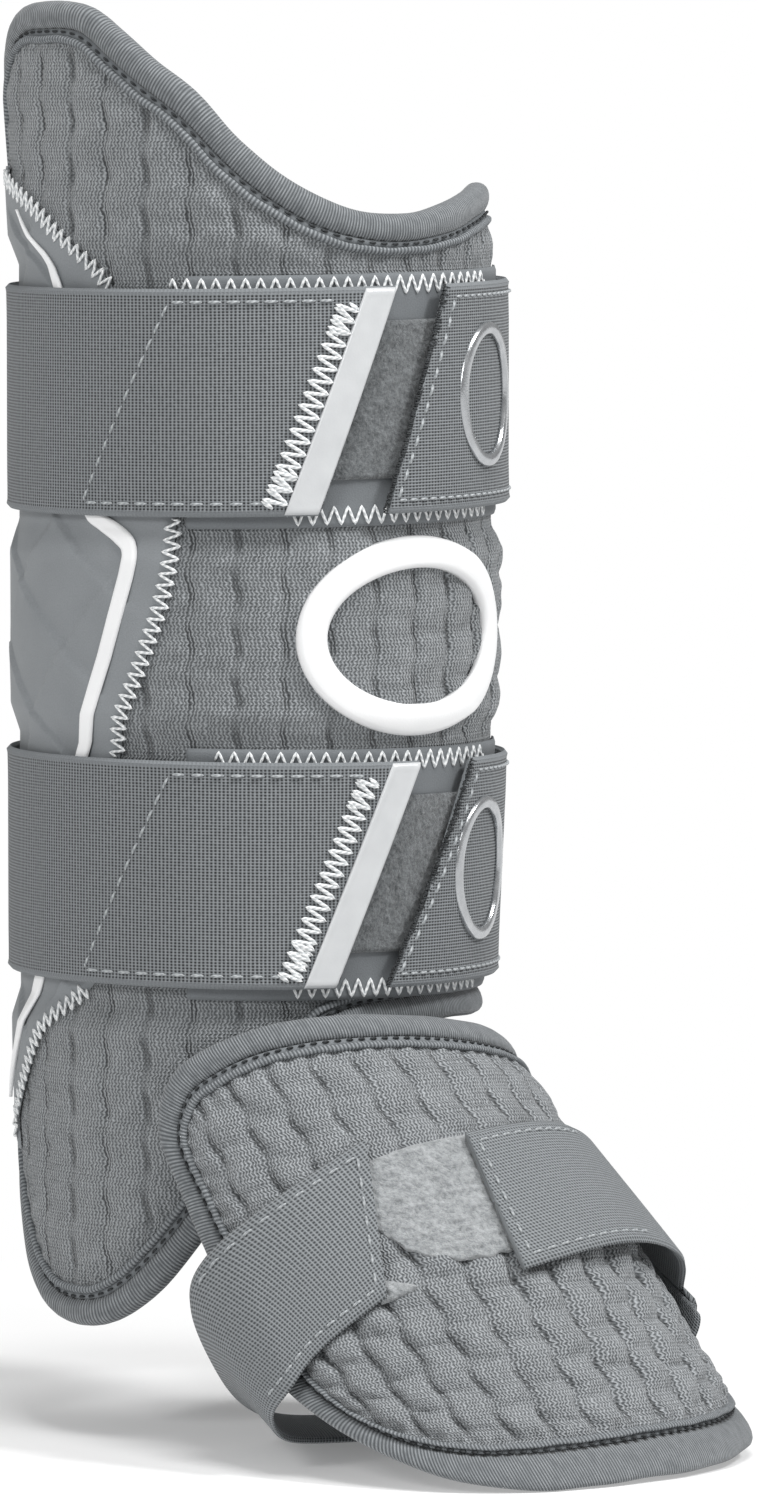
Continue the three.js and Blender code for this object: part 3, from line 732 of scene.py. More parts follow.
def signed_volume(mesh: Any) -> float:
    """Volume inside a closed mesh in cubic metres, negative where its faces point inward.

    Each triangle adds a sixth of the product of its first corner with the
    cross product of the other two.
    """
    mesh.calc_loop_triangles()
    corners = np.zeros(len(mesh.loop_triangles) * 3, np.int32)
    mesh.loop_triangles.foreach_get("vertices", corners)
    co = np.zeros(len(mesh.vertices) * 3, np.float32)
    mesh.vertices.foreach_get("co", co)
    a, b, c = np.moveaxis(co.reshape(-1, 3)[corners.reshape(-1, 3)].astype(float), 1, 0)
    return float(np.einsum("ij,ij->i", a, np.cross(b, c)).sum() / 6.0)


def plane_grid(rows: Array, columns: Array) -> Array:
    """Cloth coordinates of a grid, from one value per row and per column."""
    return np.stack(np.meshgrid(rows, columns, indexing="ij"), axis=-1)


def thread_patches(paths: Array, radius: float, sides: int) -> list[Patch]:
    """Round threads swept along paths, narrowed at both ends and closed.

    A ring of points stands round each point of a path, square to the path's
    run and with its first point facing away from the part's middle line.

    Args:
        paths: Paths by points by three, in millimetres.
        radius: Radius of the thread.
        sides: Points in each ring.

    Returns:
        One grid for each path.
    """
    along = np.gradient(paths, axis=1)
    along /= np.linalg.norm(along, axis=2, keepdims=True) + 1e-12
    away = paths * np.array([1.0, 1.0, 0.25])
    side = np.cross(along, away)
    side /= np.linalg.norm(side, axis=2, keepdims=True) + 1e-12
    up = np.cross(side, along)
    turn = np.arange(sides) / sides * TURN
    size = np.full(paths.shape[1], radius)
    size[[0, -1]] *= 0.45
    ring = up[:, :, None] * np.cos(turn)[:, None] + side[:, :, None] * np.sin(turn)[:, None]
    points = paths[:, :, None] + ring * size[None, :, None, None]
    patches = []
    for path, grid in zip(paths, points):
        cloth = plane_grid(run_along(path), np.arange(sides + 1) / sides * TURN * radius)
        patches.append(Patch(grid, cloth, capped=True))
    return patches


def slab_patch(
    x: Array, y: Array, surface: Surface, low: Array | float, high: Array | float, rounding: float = 0.0,
    cloth: Array | None = None,
) -> Patch:
    """Flat band as a closed grid: outer face, edges and inner face.

    Each row of the grid is a closed section: across the outer face, over the
    edge, back across the inner face and over the other edge.

    Args:
        x: First plane coordinate, rows by columns.
        y: Second plane coordinate, rows by columns.
        surface: The form it lies on.
        low: Offset of the inner face.
        high: Offset of the outer face.
        rounding: Millimetres at each side over which the faces close up.
        cloth: Cloth coordinates, two each, or None for the plane's own.

    Returns:
        The closed grid.
    """
    low, high = np.broadcast_to(low, x.shape), np.broadcast_to(high, x.shape)
    fall = np.zeros(x.shape)
    if rounding:
        steps = np.hypot(np.diff(x, axis=1), np.diff(y, axis=1))
        side = np.concatenate([np.zeros((len(x), 1)), np.cumsum(steps, axis=1)], axis=1)
        near = np.minimum(side, side[:, -1:] - side)
        fall = 1.0 - np.sqrt(np.clip(1.0 - (1.0 - np.clip(near / rounding, 0.0, 1.0)) ** 2, 0.0, 1.0))
    thick = high - low
    outer = surface(x, y, high - fall * thick * 0.45)
    inner = surface(x, y, low + fall * thick * 0.45)
    if cloth is None:
        cloth = np.stack([x, y], axis=-1)
    points = np.concatenate([outer, inner[:, ::-1]], axis=1)
    return Patch(points, np.concatenate([cloth, cloth[:, ::-1], cloth[:, :1]], axis=1), capped=True)


# Forms of the leg and the instep


@dataclass(frozen=True)
class LegForm:
    """The surface that the shin pad's outer face follows round the leg."""

    half_width: float = 67.0
    half_depth: float = 68.3
    base: float = 45.0
    height: float = 346.0
    squeeze: float = 2.6
    squeeze_half: float = 35.6
    fade: float = 8.0
    calf_flare: float = 3.2
    knee_tuck: float = 2.6
    ankle_tuck: float = 3.2
    upper: float = 0.714
    lower: float = 0.338

    @property
    def per_degree(self) -> float:
        """Millimetres of arc to a degree."""
        return math.radians((self.half_width + self.half_depth) / 2.0)

    def level(self, share: Array | float) -> Array | float:
        """Height above the ground of a share of the pad's height."""
        return self.base + share * self.height

    def band(self, height: Array, centre: float) -> Array:
        """Window that is 1 under a strap and fades to 0 beyond it."""
        return 1.0 - ramp(np.abs(height - centre), self.squeeze_half, self.squeeze_half + self.fade)

    def relief(self, angle: Array, height: Array) -> Array:
        """How far the straps, calf, knee and ankle move the surface outward.

        The straps press it in by the squeeze. The calf flares it out high on
        the outer side, and the knee and the ankle tuck it in, each faded out
        behind the leg.

        Args:
            angle: Degrees from the shin's front towards the outer side.
            height: Millimetres above the ground.

        Returns:
            Millimetres outward.
        """
        turn = wrapped(angle)
        front = smooth(180.0 - np.abs(turn), 8.0, 45.0)
        upper, lower = self.level(self.upper), self.level(self.lower)
        squeeze = self.band(height, upper) + self.band(height, lower)
        knee_start = upper + self.squeeze_half
        calf = self.calf_flare * smooth(turn, 85.0, 128.0) * ramp(height, knee_start, self.level(0.95))
        knee = self.knee_tuck * smooth(-turn, 0.0, 50.0) * ramp(height, knee_start, knee_start + self.fade)
        low, high = lower - self.squeeze_half, lower + self.squeeze_half
        ankle = self.ankle_tuck * smooth(45.0 - turn, 0.0, 40.0) * (1.0 - ramp(height, low, high))
        return -self.squeeze * squeeze + front * (calf - knee - ankle)

    def point(self, arc: Array, height: Array, offset: Array) -> Array:
        """Point on the surface, moved outward.

        The section is an ellipse whose half axes grow by the offset.

        Args:
            arc: Millimetres round the leg from the shin's front.
            height: Millimetres above the ground.
            offset: Millimetres outward.

        Returns:
            Points, three numbers each.
        """
        arc, height, offset = np.broadcast_arrays(
            np.asarray(arc, float), np.asarray(height, float), np.asarray(offset, float)
        )
        angle = arc / self.per_degree
        out = offset + self.relief(angle, height)
        turn = np.radians(angle)
        return np.stack(
            [-(self.half_width + out) * np.sin(turn), -(self.half_depth + out) * np.cos(turn), height],
            axis=-1,
        )


@dataclass(frozen=True)
class FlapForm:
    """The surface that the instep flap's outer face follows over the foot."""

    reach: float = 172.0
    rise: float = 122.0
    half_width: float = 69.0
    length: float = 155.0
    rounding: float = 0.07
    sections: tuple[tuple[float, ...], ...] = (
        (0.00, 0.105, 0.869, 0.436, 1.000, 0.913, -0.087),
        (0.33, 0.291, 0.508, 0.628, 0.672, 0.986, -0.014),
        (0.50, 0.395, 0.361, 0.721, 0.500, 1.000, 0.0),
        (0.66, 0.512, 0.230, 0.814, 0.336, 1.000, 0.003),
        (1.00, 0.756, 0.049, 1.000, 0.016, 0.950, 0.012),
    )

    @property
    def per_degree(self) -> float:
        """Millimetres of arc to a degree."""
        return math.radians(self.half_width)

    def column(self, station: Array, index: int) -> Array:
        """Column of the sections at a station, averaged over a short run."""
        table = np.array(self.sections)
        spread = np.linspace(-self.rounding, self.rounding, 7)
        return sum(table_at(table, station + shift, index) for shift in spread) / len(spread)

    def point(self, arc: Array, length: Array, offset: Array) -> Array:
        """Point on the surface, moved outward.

        Each station is half an ellipse that stands on the line between the
        foot's sides and reaches up and forward to the instep's ridge.

        Args:
            arc: Millimetres across the foot from the ridge.
            length: Millimetres along the flap from its top.
            offset: Millimetres outward.

        Returns:
            Points, three numbers each.
        """
        arc, length, offset = np.broadcast_arrays(
            np.asarray(arc, float), np.asarray(length, float), np.asarray(offset, float)
        )
        turn = np.radians(arc / self.per_degree)
        side_y, side_z, ridge_y, ridge_z, half, centre = (
            self.column(length / self.length, k) for k in range(1, 7)
        )
        run_y, run_z = (ridge_y - side_y) * self.reach, (ridge_z - side_z) * self.rise
        reach = np.hypot(run_y, run_z)
        along = (reach + offset) / reach * np.cos(turn)
        return np.stack(
            [
                centre * self.half_width + (half * self.half_width + offset) * np.sin(turn),
                -(side_y * self.reach + run_y * along),
                side_z * self.rise + run_z * along,
            ],
            axis=-1,
        )


@dataclass
class QuiltedPad:
    """Foam pad in a quilted knit, cut to a free outline on a curved form."""

    name: str
    node: str
    outline: Array
    surface: Surface
    quilt: Callable[[Array, Array], Array]
    knit: Cloths
    thickness: float
    rows: int = 240
    lining_rows: int = 36
    pucker: float = 0.4
    edge_drop: float = 1.6
    edge_thickness: float = 5.2
    edge_radius: float = 9.0
    column_step: float = 1.2
    chunk: int = 6000

    def edge_field(self, x: Array, y: Array) -> tuple[Array, Array]:
        """Distance to the outline, and how far round it the nearest place is.

        Args:
            x: First plane coordinate.
            y: Second plane coordinate.

        Returns:
            Distance and place round the outline, in millimetres.
        """
        a = self.outline
        step = np.roll(a, -1, axis=0) - a
        size = np.linalg.norm(step, axis=1)
        round_at = np.concatenate([[0.0], np.cumsum(size)[:-1]])
        flat = np.stack([x.ravel(), y.ravel()], axis=1)
        distance, place = np.empty(len(flat)), np.empty(len(flat))
        for start in range(0, len(flat), self.chunk):
            here = slice(start, start + self.chunk)
            part = flat[here, None, :] - a[None]
            share = np.clip((part * step).sum(axis=2) / size**2, 0.0, 1.0)
            away = np.linalg.norm(part - share[..., None] * step, axis=2)
            best = away.argmin(axis=1)
            pick = np.arange(len(best))
            distance[here] = away[pick, best]
            place[here] = round_at[best] + share[pick, best] * size[best]
        return distance.reshape(x.shape), place.reshape(x.shape)

    def grids(self) -> tuple[Array, Array, Array, Array]:
        """Plane grids of the outer face and of the lining.

        Columns stand evenly between the outline's sides and close up towards
        them. Rows close up towards the outline at both ends.

        Returns:
            Outer x and y, and lining x and y.
        """
        left, right = self.outline[:, 0].min(), self.outline[:, 0].max()
        margin = self.edge_radius
        close = margin * (1.0 - np.cos(np.linspace(0.03, 1.0, 12) * math.pi / 2.0))
        steps = int((right - left - 2 * margin) / self.column_step)
        inner = np.linspace(left + margin, right - margin, steps)
        across = np.concatenate([left + close[:-1], inner, right - close[:-1][::-1]])
        low, high = crossings(self.outline, across)

        def rows(count: int, border: int) -> Array:
            """Heights of a column's rows, crowded at both ends."""
            gap = np.minimum(margin, (high - low) * 0.22)[:, None]
            ends = gap * (1.0 - np.cos(np.linspace(0.0, 1.0, border) * math.pi / 2.0))[None]
            middle = np.linspace(0.0, 1.0, count - 2 * border + 2)[None, 1:-1]
            body = low[:, None] + gap + (high - low - 2 * gap[:, 0])[:, None] * middle
            return np.concatenate([low[:, None] + ends, body, (high[:, None] - ends)[:, ::-1]], axis=1)

        outer_y, lining_y = rows(self.rows, 12), rows(self.lining_rows, 5)
        outer_x, lining_x = (np.broadcast_to(across[:, None], y.shape).copy() for y in (outer_y, lining_y))
        return outer_x, outer_y, lining_x, lining_y

    def build(self) -> None:
        """Pad as one closed mesh: outer face, edge and lining.

        The outer face drops by the edge drop towards the outline, and the
        lining rises to the edge thickness below it.
        """
        outer_x, outer_y, lining_x, lining_y = self.grids()
        distance, place = self.edge_field(outer_x, outer_y)
        full = smooth(distance, 0.0, self.edge_radius)
        pucker = self.pucker * np.exp(-(((distance - 3.0) / 4.0) ** 2))
        pucker = pucker * np.sin(TURN * place / 6.8 + 1.6 * np.sin(place / 17.0) + distance / 3.0)
        quilt = self.quilt(outer_x, outer_y)
        rise = -self.edge_drop * (1.0 - full) + quilt * full + pucker * smooth(distance, 0, 1.5)
        outer = self.surface(outer_x, outer_y, rise)
        full = smooth(self.edge_field(lining_x, lining_y)[0], 0.0, self.edge_radius)
        depth = self.edge_drop + self.edge_thickness
        inner = self.surface(lining_x, lining_y, -(depth + (self.thickness - depth) * full))
        points = np.concatenate([outer, inner[:, ::-1]], axis=1)
        plane, back = np.stack([outer_x, outer_y], axis=-1), np.stack([lining_x, lining_y], axis=-1)
        cloth = np.concatenate([plane, back[:, ::-1], plane[:, :1]], axis=1)
        slots = (np.arange(points.shape[1]) >= outer.shape[1]).astype(int)
        patch = Patch(points, cloth, capped=True, slots=slots)
        piece = make_piece(self.name, [patch], [self.knit, Cloths.LINING], self.node)


@dataclass
class EdgeRoll:
    """Edge tape rolled over the rim of a pad, with the fold that holds it."""

    name: str
    node: str
    outline: Array
    surface: Surface
    width: Callable[[Array], Array]
    thickness: float = 7.6
    centre: float = -4.2
    gap: float = 1.05
    step: float = 1.25
    stitch_out: float = 0.95

    def loop(self) -> tuple[Array, Array, Array]:
        """Even points round the outline, the outward direction, and the run."""
        count = int(line_length(self.outline, True) / self.step)
        line = even_steps(self.outline, count, True)
        along = np.roll(line, -1, axis=0) - np.roll(line, 1, axis=0)
        along /= np.linalg.norm(along, axis=1, keepdims=True)
        area = float(np.sum(line[:, 0] * np.roll(line[:, 1], -1) - np.roll(line[:, 0], -1) * line[:, 1]))
        outward = np.stack([along[:, 1], -along[:, 0]], axis=1) * math.copysign(1.0, area)
        return line, outward, run_along(np.vstack([line, line[:1]]))

    def build(self) -> None:
        """Roll, fold, sewn strip and stitches of the edge.

        Each section is given by its distance outward and its lift, at angles
        round it, and is carried round the outline.
        """
        line, outward, run = self.loop()
        half = self.width(line)[:, None] / 2.0
        place = run[:-1, None]
        uneven = 1.0 + 0.03 * np.sin(place / 9.0) + 0.02 * np.sin(place / 4.1 + 1.0)
        sway = 0.12 * np.sin(place / 6.0) + 0.1 * np.sin(place / 2.3)

        def round_section(sides: int) -> tuple[Array, Array]:
            """Cosine and sine at even angles."""
            turn = np.arange(sides) / sides * TURN
            return np.cos(turn)[None], np.sin(turn)[None]

        def sweep(suffix: str, out: Array, lift: Array, cloth: Cloths, node: str = "") -> None:
            """One section as a closed ring of tape."""
            spot = line[:, None, :] + outward[:, None, :] * out[..., None]
            sides = out.shape[1]
            plane = plane_grid(run, np.arange(sides + 1) / sides * TURN * 4.0)
            points = self.surface(spot[..., 0], spot[..., 1], lift)
            patch = Patch(points, plane, closed_rows=True)
            make_piece(self.name + suffix, [patch], [cloth], node)

        reach, rise = (np.sign(part) * np.abs(part) ** 0.9 for part in round_section(22))
        tall = self.thickness / 2 * rise * uneven
        sweep("", self.gap + half + half * reach * uneven, self.centre + tall, Cloths.TAPE, self.node)
        reach, rise = round_section(10)
        sweep("_fold", -1.1 + sway + 1.1 * reach, -1.05 + 1.2 * rise, Cloths.FOLD)
        reach, rise = round_section(8)
        sweep("_seam", 0.35 + 1.6 * reach, -2.9 + 1.5 * rise, Cloths.SEAM_BED)
        sewing = Stitching(self.name + "_stitch", self.surface)
        beside = line + outward * self.stitch_out
        sewing.running(np.vstack([beside, beside[:1]]), 2.1, 1.7, -1.1, 0.38)
        sewing.build(Cloths.DARK_SEAM, "binding_knit")


def zigzag(line: Array, pitch: float, width: float, lean: float) -> Array:
    """Zigzag stitch along a plane line, as points close enough to bend.

    The thread swings from one side of the line to the other every half pitch.

    Args:
        line: Points of the line.
        pitch: Millimetres from one tooth to the next.
        width: Millimetres from side to side.
        lean: Millimetres that the far side is shifted along the line.

    Returns:
        Points of the thread.
    """
    teeth = max(2, int(round(line_length(line, False) / pitch)))
    at = np.linspace(0.0, 1.0, teeth * 12 + 1)
    fine = even_steps(line, len(at), False)
    along, across = directions(fine)
    wave = 2.0 / math.pi * np.arcsin(np.sin(TURN * teeth * at) * 0.985)
    return fine + across * (wave * width / 2.0)[:, None] + along * (wave * lean / 2.0)[:, None]


def dashes(line: Array, dash: float, gap: float) -> Array:
    """Running stitch along a plane line: short separate paths.

    Args:
        line: Points of the line.
        dash: Length of each stitch.
        gap: Length between stitches.

    Returns:
        Stitches by points by two.
    """
    length = line_length(line, False)
    count = max(1, int(length / (dash + gap)))
    at = np.arange(count)[:, None] * (length / count) + np.linspace(0.0, dash, 5)[None] + gap / 2.0
    run = run_along(line)
    return np.stack([np.interp(at, run, line[:, k]) for k in range(2)], axis=-1)


@dataclass
class Stitching:
    """Threads laid on a surface, gathered into one piece."""

    name: str
    surface: Surface
    patches: list[Patch] = field(default_factory=list)

    def zigzag(
        self, line: Array, pitch: float, width: float, lift: float, radius: float, lean: float = 0.0
    ) -> None:
        """Adds a zigzag along a plane line."""
        path = zigzag(line, pitch, width, lean)
        points = self.surface(path[:, 0], path[:, 1], np.full(len(path), lift))
        self.patches += thread_patches(points[None], radius, 6)

    def running(self, line: Array, dash: float, gap: float, lift: float, radius: float) -> None:
        """Adds a running stitch whose ends dip into the cloth."""
        path = dashes(line, dash, gap)
        dip = np.array([-0.5, 0.0, 0.12, 0.0, -0.5]) * radius * 1.6
        points = self.surface(path[..., 0], path[..., 1], lift + dip[None] + 0 * path[..., 0])
        self.patches += thread_patches(points, radius, 5)

    def build(self, cloth: Cloths, slot: str) -> None:
        """Makes all the threads one piece."""
        make_piece(self.name, self.patches, [cloth])


# The shin


LEG = LegForm()
FLAP = FlapForm()

# [angle, height as a share]
SHIN_OUTLINE = np.array([
    [121, 0.977], [112, 0.996], [101, 1.0], [88, 0.997], [80, 0.981], [70, 0.957], [60, 0.934],
    [49, 0.897], [39, 0.870], [26, 0.846], [14, 0.835], [0, 0.833], [-15, 0.840], [-30, 0.850],
    [-50, 0.856], [-78, 0.836], [-101, 0.824], [-117, 0.800], [-126, 0.748], [-128, 0.66], [-128, 0.50],
    [-127, 0.36], [-121, 0.288], [-106, 0.256], [-80, 0.243], [-50, 0.241], [-18, 0.243], [-5, 0.242],
    [7, 0.240], [17, 0.236], [27, 0.222], [35, 0.190], [44, 0.141], [54, 0.092], [62, 0.056],
    [72, 0.022], [81, 0.004], [91, 0.0], [100, 0.007], [107, 0.024], [115, 0.055], [124, 0.100],
    [131, 0.165], [136, 0.26], [139, 0.40], [139.5, 0.54], [138.5, 0.68], [136, 0.79], [132, 0.88],
    [128, 0.942],
])

# [height as a share, angle]
PLATE_FRONT = np.array([
    [0.897, 129], [0.880, 117], [0.868, 105], [0.842, 93], [0.812, 81], [0.772, 71], [0.700, 65],
    [0.610, 61], [0.585, 61], [0.550, 63.5], [0.500, 69], [0.455, 75], [0.400, 78], [0.300, 79.5],
    [0.255, 82], [0.236, 89], [0.223, 97], [0.205, 103], [0.172, 110], [0.125, 121], [0.105, 125.5],
])

# [angle, height as a share]
TRIM_LINE = np.array([
    [111, 0.862], [106, 0.845], [99, 0.826], [94.5, 0.800], [91, 0.755], [86.5, 0.680], [83, 0.622],
    [75, 0.609], [71, 0.600], [70, 0.590], [71, 0.575], [77, 0.510], [85.8, 0.432], [95, 0.350],
    [104, 0.250], [113, 0.200], [124, 0.145],
])


def shin_plane(table: Array) -> Array:
    """Angles and shares of the shin pad as plane millimetres."""
    return np.stack([table[:, 0] * LEG.per_degree, LEG.level(table[:, 1])], axis=1)


def plate_front(height: Array) -> Array:
    """Arc of the side plate's front edge at a height."""
    return table_at(PLATE_FRONT, (height - LEG.base) / LEG.height, 1) * LEG.per_degree


def quilt_columns(x: Array, y: Array, sway: float, loose: float) -> tuple[Array, Array, Array]:
    """Columns of the quilt between its swaying channels.

    Args:
        x: First plane coordinate.
        y: Second plane coordinate.
        sway: Millimetres that a channel swings to each side.
        loose: Further unevenness of the channels.

    Returns:
        Place across in columns, distance from the column's middle as a share of
        its half width, and distance from the channel in millimetres.
    """
    swayed = x - sway * np.sin(TURN * y / TACK) - loose
    part = np.abs(np.mod(swayed / CHANNEL, 1.0) - 0.5) * 2.0
    gap = np.abs(np.mod(swayed + CHANNEL / 2, CHANNEL) - CHANNEL / 2)
    return swayed / CHANNEL, part, gap


@dataclass
class ShinShell:
    """Quilted pad round the shin, with its rolled edge."""

    thickness: float = 9.0
    binding_width: float = 8.2

    @property
    def outline(self) -> Array:
        """Edge of the pad in plane millimetres."""
        return even_steps(catmull_rom(shin_plane(SHIN_OUTLINE), 1600, True), 300, True)

    @staticmethod
    def covered(x: Array, y: Array) -> Array:
        """1 where the plate, a loop panel or a strap lies on the pad."""
        share = (y - LEG.base) / LEG.height
        plate = smooth(x - plate_front(y), -6.0, -1.0)
        plate = plate * smooth(share, 0.09, 0.11) * (1.0 - smooth(share, 0.89, 0.91))
        strap = sum(1.0 - smooth(np.abs(y - LEG.level(c)), 34.0, 39.0) for c in (LEG.upper, LEG.lower))
        return np.maximum(plate, strap)

    def quilt(self, x: Array, y: Array) -> Array:
        """Quilt of the shin: low crowned cells that deepen on the inner side.

        A cell's crown is one less the cube of the distance from its column's
        middle, times a rounded arch along the column. The channel is a narrow
        valley that is shallower at the tacks.

        Args:
            x: Arc round the leg.
            y: Height above the ground.

        Returns:
            Millimetres outward.
        """
        angle = x / LEG.per_degree
        deep = smooth(-angle, -14.0, 22.0) + 0.5 * smooth(y, 318.0, 338.0) * smooth(angle, 20.0, 50.0)
        _, part, gap = quilt_columns(x, y, 0.6, 0.22 * ripple(x, y, 5.0, 21))
        row = y / TACK + 0.12 * np.sin(x / 19.0) + 0.06 * ripple(x, y, 30.0, 5)
        cell = np.abs(np.sin(math.pi * row)) ** 0.6
        valley = np.exp(-((gap / 1.2) ** 2)) * (0.6 + 0.4 * np.sin(TURN * y / TACK + TACK_PHASE))
        relief = (0.45 + 1.25 * deep) * ((1.0 - part**3) * (0.25 + 0.75 * cell) - 0.75)
        relief += -(0.6 + 0.7 * deep) * valley + 0.3 * (0.5 + deep) * ripple(x, y, 22.0, 4)
        relief += 0.15 * ripple(x * 0.45, y, 4.5, 14)
        return relief * (1.0 - self.covered(x, y))

    def roll_width(self, line: Array) -> Array:
        """Width of the edge roll, the same all round."""
        return np.full(len(line), self.binding_width)

    def build(self) -> None:
        """Builds and dresses the pad and its edge."""
        outline = self.outline
        QuiltedPad(
            "shin_quilt", "shin_pad", outline, LEG.point, self.quilt, Cloths.SHIN_KNIT, self.thickness
        ).build()
        EdgeRoll("shin_edge_roll", "shin_binding", outline, LEG.point, self.roll_width).build()


@dataclass
class SidePlate:
    """Smooth moulded plate on the outer side, with its white line and stitches."""

    seat: float = 0.45
    thickness: float = 1.1
    edge: float = 1.6
    rear_edge: float = 7.5
    trim_width: float = 5.2
    trim_base: float = 2.15
    trim_depth: float = 0.9
    trim_thickness: float = 0.7
    zigzag_pitch: float = 3.3
    zigzag_width: float = 5.4
    facet_rows: tuple[tuple[float, ...], ...] = ((0.9, 196.0, 1.2, 31.0), (-1.3, 262.0, 0.9, 44.0))
    stitch_runs: tuple[tuple[float, float], ...] = ((0.115, 0.245), (0.43, 0.622), (0.797, 0.893))

    def facets(self, x: Array, y: Array) -> Array:
        """Generic low facets: slanted flats, each of which ends in a sharp step."""
        angle = x / LEG.per_degree
        total = np.zeros_like(x)
        for slope, start, height, pitch in self.facet_rows:
            total += height * (np.mod((y - start - slope * (angle - 95.0)) / pitch, 1.0) - 0.5)
        return total

    def build(self, outline: Array) -> None:
        """Builds and dresses the plate, its line and its stitches.

        Args:
            outline: Edge of the shin pad, which the plate's rear edge follows.
        """
        top, bottom = LEG.level(PLATE_FRONT[0, 0]), LEG.level(PLATE_FRONT[-1, 0])
        heights = np.linspace(bottom + 0.5, top - 0.5, 230)
        rear = crossings(outline[:, ::-1], heights)[1] - self.rear_edge
        front = running_mean(plate_front(heights) - self.edge, 3)
        front = np.minimum(front, rear - 4.0)
        share = np.linspace(0.0, 1.0, 90)
        share = share - 0.12 * np.sin(TURN * share) / TURN * 2.0
        x = front[:, None] + (rear - front)[:, None] * share[None]
        y = np.broadcast_to(heights[:, None], x.shape).copy()
        inward = np.minimum(
            np.minimum(x - front[:, None], rear[:, None] - x), np.minimum(y - heights[0], heights[-1] - y)
        )
        rim = smooth(inward, 0.0, 3.2)
        high = self.seat + self.thickness * (0.25 + 0.75 * rim)
        high = high + smooth(inward, 4.0, 16.0) * self.facets(x, y)
        patch = slab_patch(x, y, LEG.point, np.minimum(high - 0.3, self.seat), high, 0.6)
        make_piece("side_plate_shell", [patch], [Cloths.PLATE], "side_plate")
        self.trim()
        self.stitches(front, heights)

    def trim(self) -> None:
        """White line, narrower at its ends, with softened sides."""
        line = even_steps(shin_plane(TRIM_LINE), 260, False)
        line = np.stack([running_mean(line[:, k], 1) for k in (0, 1)], axis=1)
        _, across = directions(line)
        count = np.arange(len(line))
        taper = np.clip(np.minimum(count, len(line) - 1 - count) / 42.0, 0.06, 0.9)
        side = np.linspace(-1.0, 1.0, 9)
        half = side[None] * (self.trim_width / 2 * taper)[:, None]
        spot = line[:, None] + across[:, None] * half[..., None]
        low, high = self.trim_base - self.trim_depth, self.trim_base + self.trim_thickness
        cloth = plane_grid(count * 1.2, side * self.trim_width / 2)
        patch = slab_patch(spot[..., 0], spot[..., 1], LEG.point, low, high, 0.9, cloth)
        make_piece("side_white_line", [patch], [Cloths.WHITE_FILM], "side_plate_trim")

    def stitches(self, front: Array, heights: Array) -> None:
        """White zigzag over the plate's front edge, where no strap covers it."""
        sewing = Stitching("side_plate_zigzag", LEG.point)
        for low, high in self.stitch_runs:
            inside = (heights > LEG.level(low)) & (heights < LEG.level(high))
            line = np.stack([front[inside] + 0.4, heights[inside]], axis=1)
            sewing.zigzag(line, self.zigzag_pitch, self.zigzag_width, self.seat + self.thickness + 0.15, 0.42)
        sewing.build(Cloths.THREAD, "white_film")


